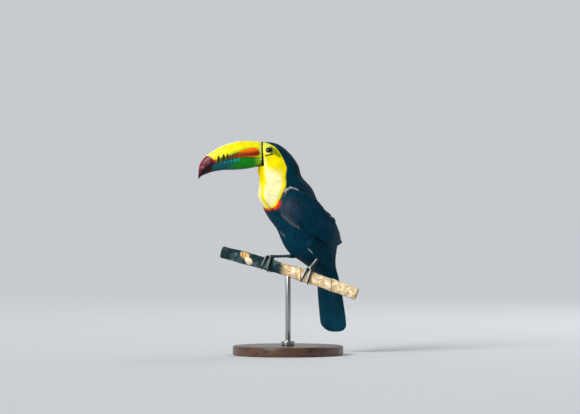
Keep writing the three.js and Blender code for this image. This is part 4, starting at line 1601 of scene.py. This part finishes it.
def perch_radius(x):
    x = np.asarray(x, float)
    scars = sum(np.exp(-(((x - scar) / 5) ** 2)) for scar in LEAF_SCARS)
    return PERCH_RADIUS * (1 + 0.1 * scars + 0.03 * np.sin(x / 17))


def perch_frame(x):
    run = unit(perch_axis(x + 0.5) - perch_axis(x - 0.5))
    front = -unit(np.cross([0, 0, 1], run))
    top = -unit(np.cross(run, front))
    return perch_axis(x), run, top if top[2] > 0 else -top, front


def grip_point(leg, toe, angle, height):
    x = leg["foot_x"] + toe["shift"] + toe["splay"] * angle / 90
    axis, _, top, front = perch_frame(x)
    a = math.radians(angle)
    far = perch_radius(x) + height
    return axis + top * math.cos(a) * far + front * math.sin(a) * toe["way"] * far


def foot_pad(leg):
    """Where the toes meet, on top of the perch."""
    axis, _, top, _ = perch_frame(leg["foot_x"])
    return axis + top * (perch_radius(leg["foot_x"]) + TOE_RADIUS + 0.9)


def thigh_hull(leg):
    """The thigh, down to a short cuff of feathers round the top of the shank."""
    knee, ankle = np.array(leg["knee"], float), np.array(leg["ankle"], float)
    points = [knee, (knee + ankle) / 2, ankle, ankle + (foot_pad(leg) - ankle) * 0.16]
    return round_hull(points, [leg["knee_radius"], 13.5, 5.0, 3.9], (1, 0, 0), (0.45, 0.02))


def tarsus_hull(leg):
    pad = foot_pad(leg)
    ankle = np.array(leg["ankle"], float)
    points = [ankle + (pad - ankle) * share for share in (-0.2, 0.08, 0.36, 0.7, 1.04)]
    radii = [3.2, 3.1, TARSUS_RADIUS * 0.96, TARSUS_RADIUS * 0.96, 3.6]
    return round_hull(points, radii, (0.3, 1, 0.2), (0.06, 0.08))


def toe_hull(leg, toe):
    share = np.linspace(0, 1, 9)
    radii = TOE_RADIUS * (1 - 0.22 * share + 0.07 * np.cos(share * 6 * np.pi))
    angles = 6 + (toe["reach"] - 6) * share
    points = [grip_point(leg, toe, angle, radius + 0.3) for angle, radius in zip(angles, radii)]
    return round_hull(points, radii, perch_frame(leg["foot_x"])[1], (0.08, 0.06))


def claw_hull(leg, toe):
    share = np.linspace(0, 1, 7)
    lift = 2.2 + 2.6 * np.sin(share * np.pi * 0.75) - 1.6 * share
    angles = toe["reach"] - 3 + 40 * share
    points = [grip_point(leg, toe, angle, height) for angle, height in zip(angles, lift)]
    return round_hull(points, CLAW_RADIUS * (1 - 0.75 * share), perch_frame(leg["foot_x"])[1], (0.1, 0.06))


def scute_rings(count, depth):
    """Plates across the leg, each a little proud of the next one's edge."""
    def carve(t, a, p):
        step = (t * count) % 1
        return depth * (smooth(0, 0.25, step) * smooth(1, 0.6, step) - 0.5)
    return carve


def leg_edges(t, count):
    step = (t * count) % 1
    return np.maximum(smooth(0.16, 0.02, step), smooth(0.86, 0.99, step))


def painted_light_side(hull, t, a):
    """1 on the side of a leg or toe that faces the key light, where light is painted as near-white plates."""
    out = hull.frame(t, a)[3]
    return smooth(0.6, 0.84, out @ unit(np.array([-0.68, -0.6, 0.42])))


def make_leg(side, scales, horn):
    leg = LEGS[side]
    # Painted light: strong on the lit left leg, weak on the right leg, which is in shade.
    painted_light_strength = 0.9 if side == "left" else 0.3
    hull = tarsus_hull(leg)
    tarsus, tt, aa, _ = tube("shank_" + side, hull, 130, 28, True, scute_rings(9, 0.32))
    give(tarsus, "edge", leg_edges(tt, 9), "FLOAT")
    give(tarsus, "front", painted_light_side(hull, tt, aa) * painted_light_strength, "FLOAT")
    finish(tarsus, scales, ["tarsus_" + side])
    for name, toe in TOES.items():
        hull = toe_hull(leg, toe)
        piece, tt, aa, _ = tube(f"toe_{side}_{name}_skin", hull, 110, 24, True, scute_rings(13, 0.26))
        give(piece, "edge", leg_edges(tt, 13), "FLOAT")
        give(piece, "front", painted_light_side(hull, tt, aa) * painted_light_strength * 0.8, "FLOAT")
        finish(piece, scales, [f"toe_{side}_{name}"])
        claw, _, _, _ = tube(f"claw_{side}_{name}_horn", claw_hull(leg, toe), 44, 20)
        finish(claw, horn, [f"claw_{side}_{name}"])


def make_thigh_coat(side, material):
    hull = thigh_hull(LEGS[side])

    def spacing(t, a):
        return np.interp(t, [0, 0.5, 0.7, 1], [2.6, 2.1, 1.4, 1.2]) * 1.0

    def keep(t, a, p):
        near_t, near_a = nearest_on_body(p)
        near, _, _, out = BODY.frame(near_t, near_a)
        return np.sum((p - near) * out, axis=1) > -1.5

    t, a = scatter(hull, (0.03, 0.88), (0, 2 * np.pi), spacing, keep, seed=21, cells=(80, 60))
    n = len(t)
    length = np.interp(t, [0, 0.5, 0.66, 0.88], [11, 7, 4.2, 2.6]) * rng.uniform(0.9, 1.1, n)
    width = np.interp(t, [0, 0.5, 0.7, 1], [1.9, 1.5, 0.9, 0.7]) * rng.uniform(0.9, 1.1, n)
    high = rng.uniform(-0.3, 0.1, n)
    grid, measure, _ = lay_vanes(hull, t, a, length, width, np.full(n, -1.3), high, rng.normal(0, 0.1, n))
    faces = vane_faces(4, 4)
    tints = np.tile(TEAL_BLACK, (n, 1)) * rng.uniform(0.8, 1.2, n)[:, None]
    if side == "left":
        # Painted highlight: a pale streak on the left thigh's feathers, where light catches their edges.
        fringe = smooth(5, 3, np.abs(np.degrees(a) - 201)) * smooth(0.16, 0.22, t) * smooth(0.52, 0.48, t)
        tints = mix(tints, np.tile(PAINTED_HIGHLIGHT_PALE, (n, 1)), fringe * 0.7)
    low_v = 0.52 if side == "left" else 0.76
    return coat_piece(
        "thigh_feathers_" + side, grid, measure, tints, plain_places(t, a, 0.94, low_v, 0.05), faces,
        material,
    )


# ---- The perch ----

def make_perch(material, cut_material):
    x = np.linspace(*PERCH_ENDS, 23)
    hull = round_hull(perch_axis(x), perch_radius(x), (0, 0, 1))

    def carve(t, a, p):
        along = PERCH_ENDS[0] + (PERCH_ENDS[1] - PERCH_ENDS[0]) * t
        rough = 0.28 * wobble(p, 16, 31) + 0.2 * wobble(p * [0.4, 1, 1], 5, 32) + 0.1 * wobble(p, 2.6, 33)
        ring = np.zeros(len(t))
        for scar in LEAF_SCARS:
            shift = scar + 1.2 * np.sin(a * 2 + scar) + 0.6 * np.sin(a * 5)
            swelling = 0.3 * np.exp(-((along - shift - 2.4) / 1.2) ** 2)
            ring += swelling - 0.55 * np.exp(-((along - shift) / 0.55) ** 2)
            ring -= 0.3 * np.exp(-((along - shift - 4.6) / 0.4) ** 2)
        cracks = -0.22 * np.clip(np.sin(a * 15 + 2.2 * wobble(p, 30, 34)) - 0.86, 0, 1) * 7 * 0.5
        edge = -0.5 * smooth(0.006, 0.0, t) - 0.5 * smooth(0.994, 1.0, t)
        return np.clip(rough + ring + cracks + edge - 0.15, -1.2, 0.32)

    rows = np.linspace(0, 1, 420)
    round_it = np.arange(100) / 100 * 2 * np.pi
    piece, _, _, p = tube("perch_wood", hull, 0, 0, True, carve, rows, round_it)
    along = p[:, 0]
    # The branch's left part is dark blue-grey: partly dark bark, partly painted shadow. Pale blotches, orange
    # and the pale by the scars stay on the rest.
    painted_shadow_and_dark_bark = smooth(-6, -18, along + 5 * wobble(p, 18, 40))
    dark = mix(linear(16, 46, 50), linear(104, 142, 144), smooth(-0.2, 1.0, wobble(p, 34, 43)))
    tint = mix(mix(linear(228, 198, 150), linear(232, 211, 170), smooth(20, 90, along)), dark, painted_shadow_and_dark_bark)
    rise = p[:, 2] - perch_axis(along)[:, 2]
    behind = 6 * (p[:, 1] > perch_axis(along)[:, 1])
    torn = np.hypot(along + 82, 1.15 * (rise - 5)) + behind
    stub = np.hypot(along + 75, rise + 3.5) + behind
    knot = smooth(10.0, 8.2, np.minimum(torn, stub + 2.0) + 1.0 * wobble(p, 6, 44))
    tint = mix(tint, mix(linear(226, 184, 126), linear(252, 232, 204), smooth(7.5, 5.5, stub)), knot)
    patches = smooth(0.1, 0.6, wobble(p, 22, 41))
    tint = mix(tint, linear(252, 236, 212), patches * 0.7 * (1 - painted_shadow_and_dark_bark))
    orange = smooth(0.2, 0.7, wobble(p, 9, 42))
    tint = mix(tint, linear(190, 132, 74), orange * 0.42 * (1 - painted_shadow_and_dark_bark))
    for scar in LEAF_SCARS:
        tint = mix(tint, linear(40, 30, 24), np.exp(-((along - scar) / 0.9) ** 2) * 0.75)
        tint = mix(tint, linear(250, 232, 200), np.exp(-((along - scar + 3) / 1.6) ** 2) * 0.5 * (1 - painted_shadow_and_dark_bark))
    give(piece, "tint", tint, "FLOAT_COLOR")
    give(piece, "disc", p - perch_axis(along), "FLOAT_VECTOR")
    finish(piece, material, ["perch"])
    piece.data.materials.append(cut_material)
    for polygon in piece.data.polygons:
        if len(polygon.vertices) == 3:
            polygon.material_index = 1
            polygon.use_smooth = False


# ---- The stand ----

def select_faces(piece, test):
    """In edit mode, selects the faces whose centre and normal pass a test."""
    bpy.ops.mesh.select_all(action="DESELECT")
    bpy.ops.object.mode_set(mode="OBJECT")
    for polygon in piece.data.polygons:
        polygon.select = test(polygon.center, polygon.normal)
    bpy.ops.object.mode_set(mode="EDIT")
    bpy.ops.mesh.select_mode(type="FACE")


def turned(name, radius, low, high, vertices):
    deselect()
    bpy.ops.mesh.primitive_cylinder_add(
        vertices=vertices, radius=radius, depth=high - low, location=(0, 0, (low + high) / 2))
    piece = bpy.context.active_object
    piece.name = name
    bpy.ops.object.transform_apply(location=True, rotation=True, scale=True)
    return piece


def soften(piece, width, segments):
    corner = math.radians(40)
    apply_modifier(piece, "BEVEL", width=width, segments=segments, limit_method="ANGLE", angle_limit=corner)
    only(piece)
    bpy.ops.object.shade_smooth_by_angle(angle=math.radians(35))


def make_stand(wood, steel):
    low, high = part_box("stand_base")
    base = turned("base_disc", high[0], 0, high[2], 192)
    only(base)
    bpy.ops.object.mode_set(mode="EDIT")
    select_faces(base, lambda centre, normal: normal.z > 0.9)
    bpy.ops.mesh.inset(thickness=0.009)
    bpy.ops.mesh.inset(thickness=0.0008, depth=-0.0008)
    bpy.ops.mesh.inset(thickness=0.0016)
    bpy.ops.mesh.inset(thickness=0.0008, depth=0.0008)
    bpy.ops.object.mode_set(mode="OBJECT")
    apply_modifier(base, "BEVEL", width=0.003, segments=5, limit_method="ANGLE", angle_limit=math.radians(60))
    bpy.ops.object.shade_smooth_by_angle(angle=math.radians(35))
    finish(base, wood, ["stand_base"])

    low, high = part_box("stand_collar")
    collar = turned("rod_collar", high[0], low[2], high[2], 96)
    only(collar)
    bpy.ops.object.mode_set(mode="EDIT")
    select_faces(collar, lambda centre, normal: normal.z > 0.9)
    bpy.ops.mesh.inset(thickness=0.005)
    bpy.ops.object.mode_set(mode="OBJECT")
    soften(collar, 0.0012, 4)
    finish(collar, steel, ["stand_collar"])

    low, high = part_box("stand_rod")
    rod = turned("rod_bar", high[0], low[2], high[2], 64)
    soften(rod, 0.0005, 2)
    finish(rod, steel, ["stand_rod"])


# ---- Camera, floor and light ----

def make_stage():
    deselect()
    bpy.ops.mesh.primitive_plane_add(size=120, location=(0, 0, 0))
    floor = bpy.context.active_object
    floor.name = "floor"
    bpy.ops.object.transform_apply(location=True, rotation=True, scale=True)
    material, s, shader = new_material("floor_pale", 0.9)
    uneven = mottled(s, 3.0, 0.985, 1.0)
    s.join(tone(s, linear(216, 220, 224), uneven), shader["Base Color"])
    floor.data.materials.append(material)
    world = bpy.data.worlds.new("studio")
    bpy.context.scene.world = world
    world.use_nodes = True
    background = world.node_tree.nodes["Background"]
    background.inputs["Color"].default_value = (0.92, 0.96, 1.0, 1)
    s = Shader(world.node_tree)
    way = s.node("ShaderNodeSeparateXYZ")
    s.join(s.node("ShaderNodeTexCoord").outputs["Generated"], way.inputs[0])
    level = s.node("ShaderNodeMapRange")
    for label, value in (("From Min", -0.7), ("From Max", 0.5), ("To Min", 0.19), ("To Max", 0.62)):
        level.inputs[label].default_value = value
    s.join(way.outputs[1], level.inputs["Value"])
    s.join(level.outputs[0], background.inputs["Strength"])


def make_light(name, kind, place, aim, size, power, color=(1, 1, 1)):
    lamp = bpy.data.lights.new(name, kind)
    lamp.energy = power
    if kind == "SUN":
        lamp.angle = size
    else:
        lamp.size = size
    lamp.color = color
    made = bpy.data.objects.new(name, lamp)
    made.location = place
    made.rotation_euler = (Vector(aim) - Vector(place)).to_track_quat("-Z", "Y").to_euler()
    bpy.context.scene.collection.objects.link(made)


def make_camera():
    camera = bpy.data.cameras.new("camera")
    camera.sensor_width = 36
    camera.lens = 36 * CAMERA_DISTANCE / VIEW_WIDTH
    camera.clip_end = 200
    made = bpy.data.objects.new("camera", camera)
    made.location = (CAMERA_AIM[0], -CAMERA_DISTANCE, CAMERA_AIM[1])
    made.rotation_euler = (math.pi / 2, 0, 0)
    bpy.context.scene.collection.objects.link(made)
    bpy.context.scene.camera = made


make_stage()
make_camera()
bpy.context.scene.view_settings.view_transform = "Standard"
make_light("key", "SUN", (-2.4, -2.7, 2.0), (0, 0, 0), 0.46, 2.8, (1, 0.97, 0.92))
make_light("rim", "AREA", (1.6, 1.9, 1.9), (0, 0, 0.3), 1.2, 14)

contour = feather_material("contour_feathers", 1.6, 0.56, 0.05)
flight = feather_material("flight_feathers", 1.1, 0.5, 0.07)
horn = horn_material()
skin = make_skin()
make_body_coat(contour)
for side in ("left", "right"):
    make_wing_coverts(side, contour)
    make_flight_feathers(side, flight)
    make_thigh_coat(side, contour)
make_tail_feathers(flight)
make_bill(True, horn)
make_bill(False, horn)
eye_finish = eye_material()
lid_finish = lid_material()
skin_tree = BVHTree.FromObject(skin, bpy.context.evaluated_depsgraph_get())
for side in ("left", "right"):
    make_eye(side, eye_finish)
    make_lids(side, skin_tree, lid_finish)
scales = scale_material()
claws = claw_material()
for side in LEGS:
    make_leg(side, scales, claws)
make_perch(bark_material(), cut_wood_material())
make_stand(base_material(), steel_material())
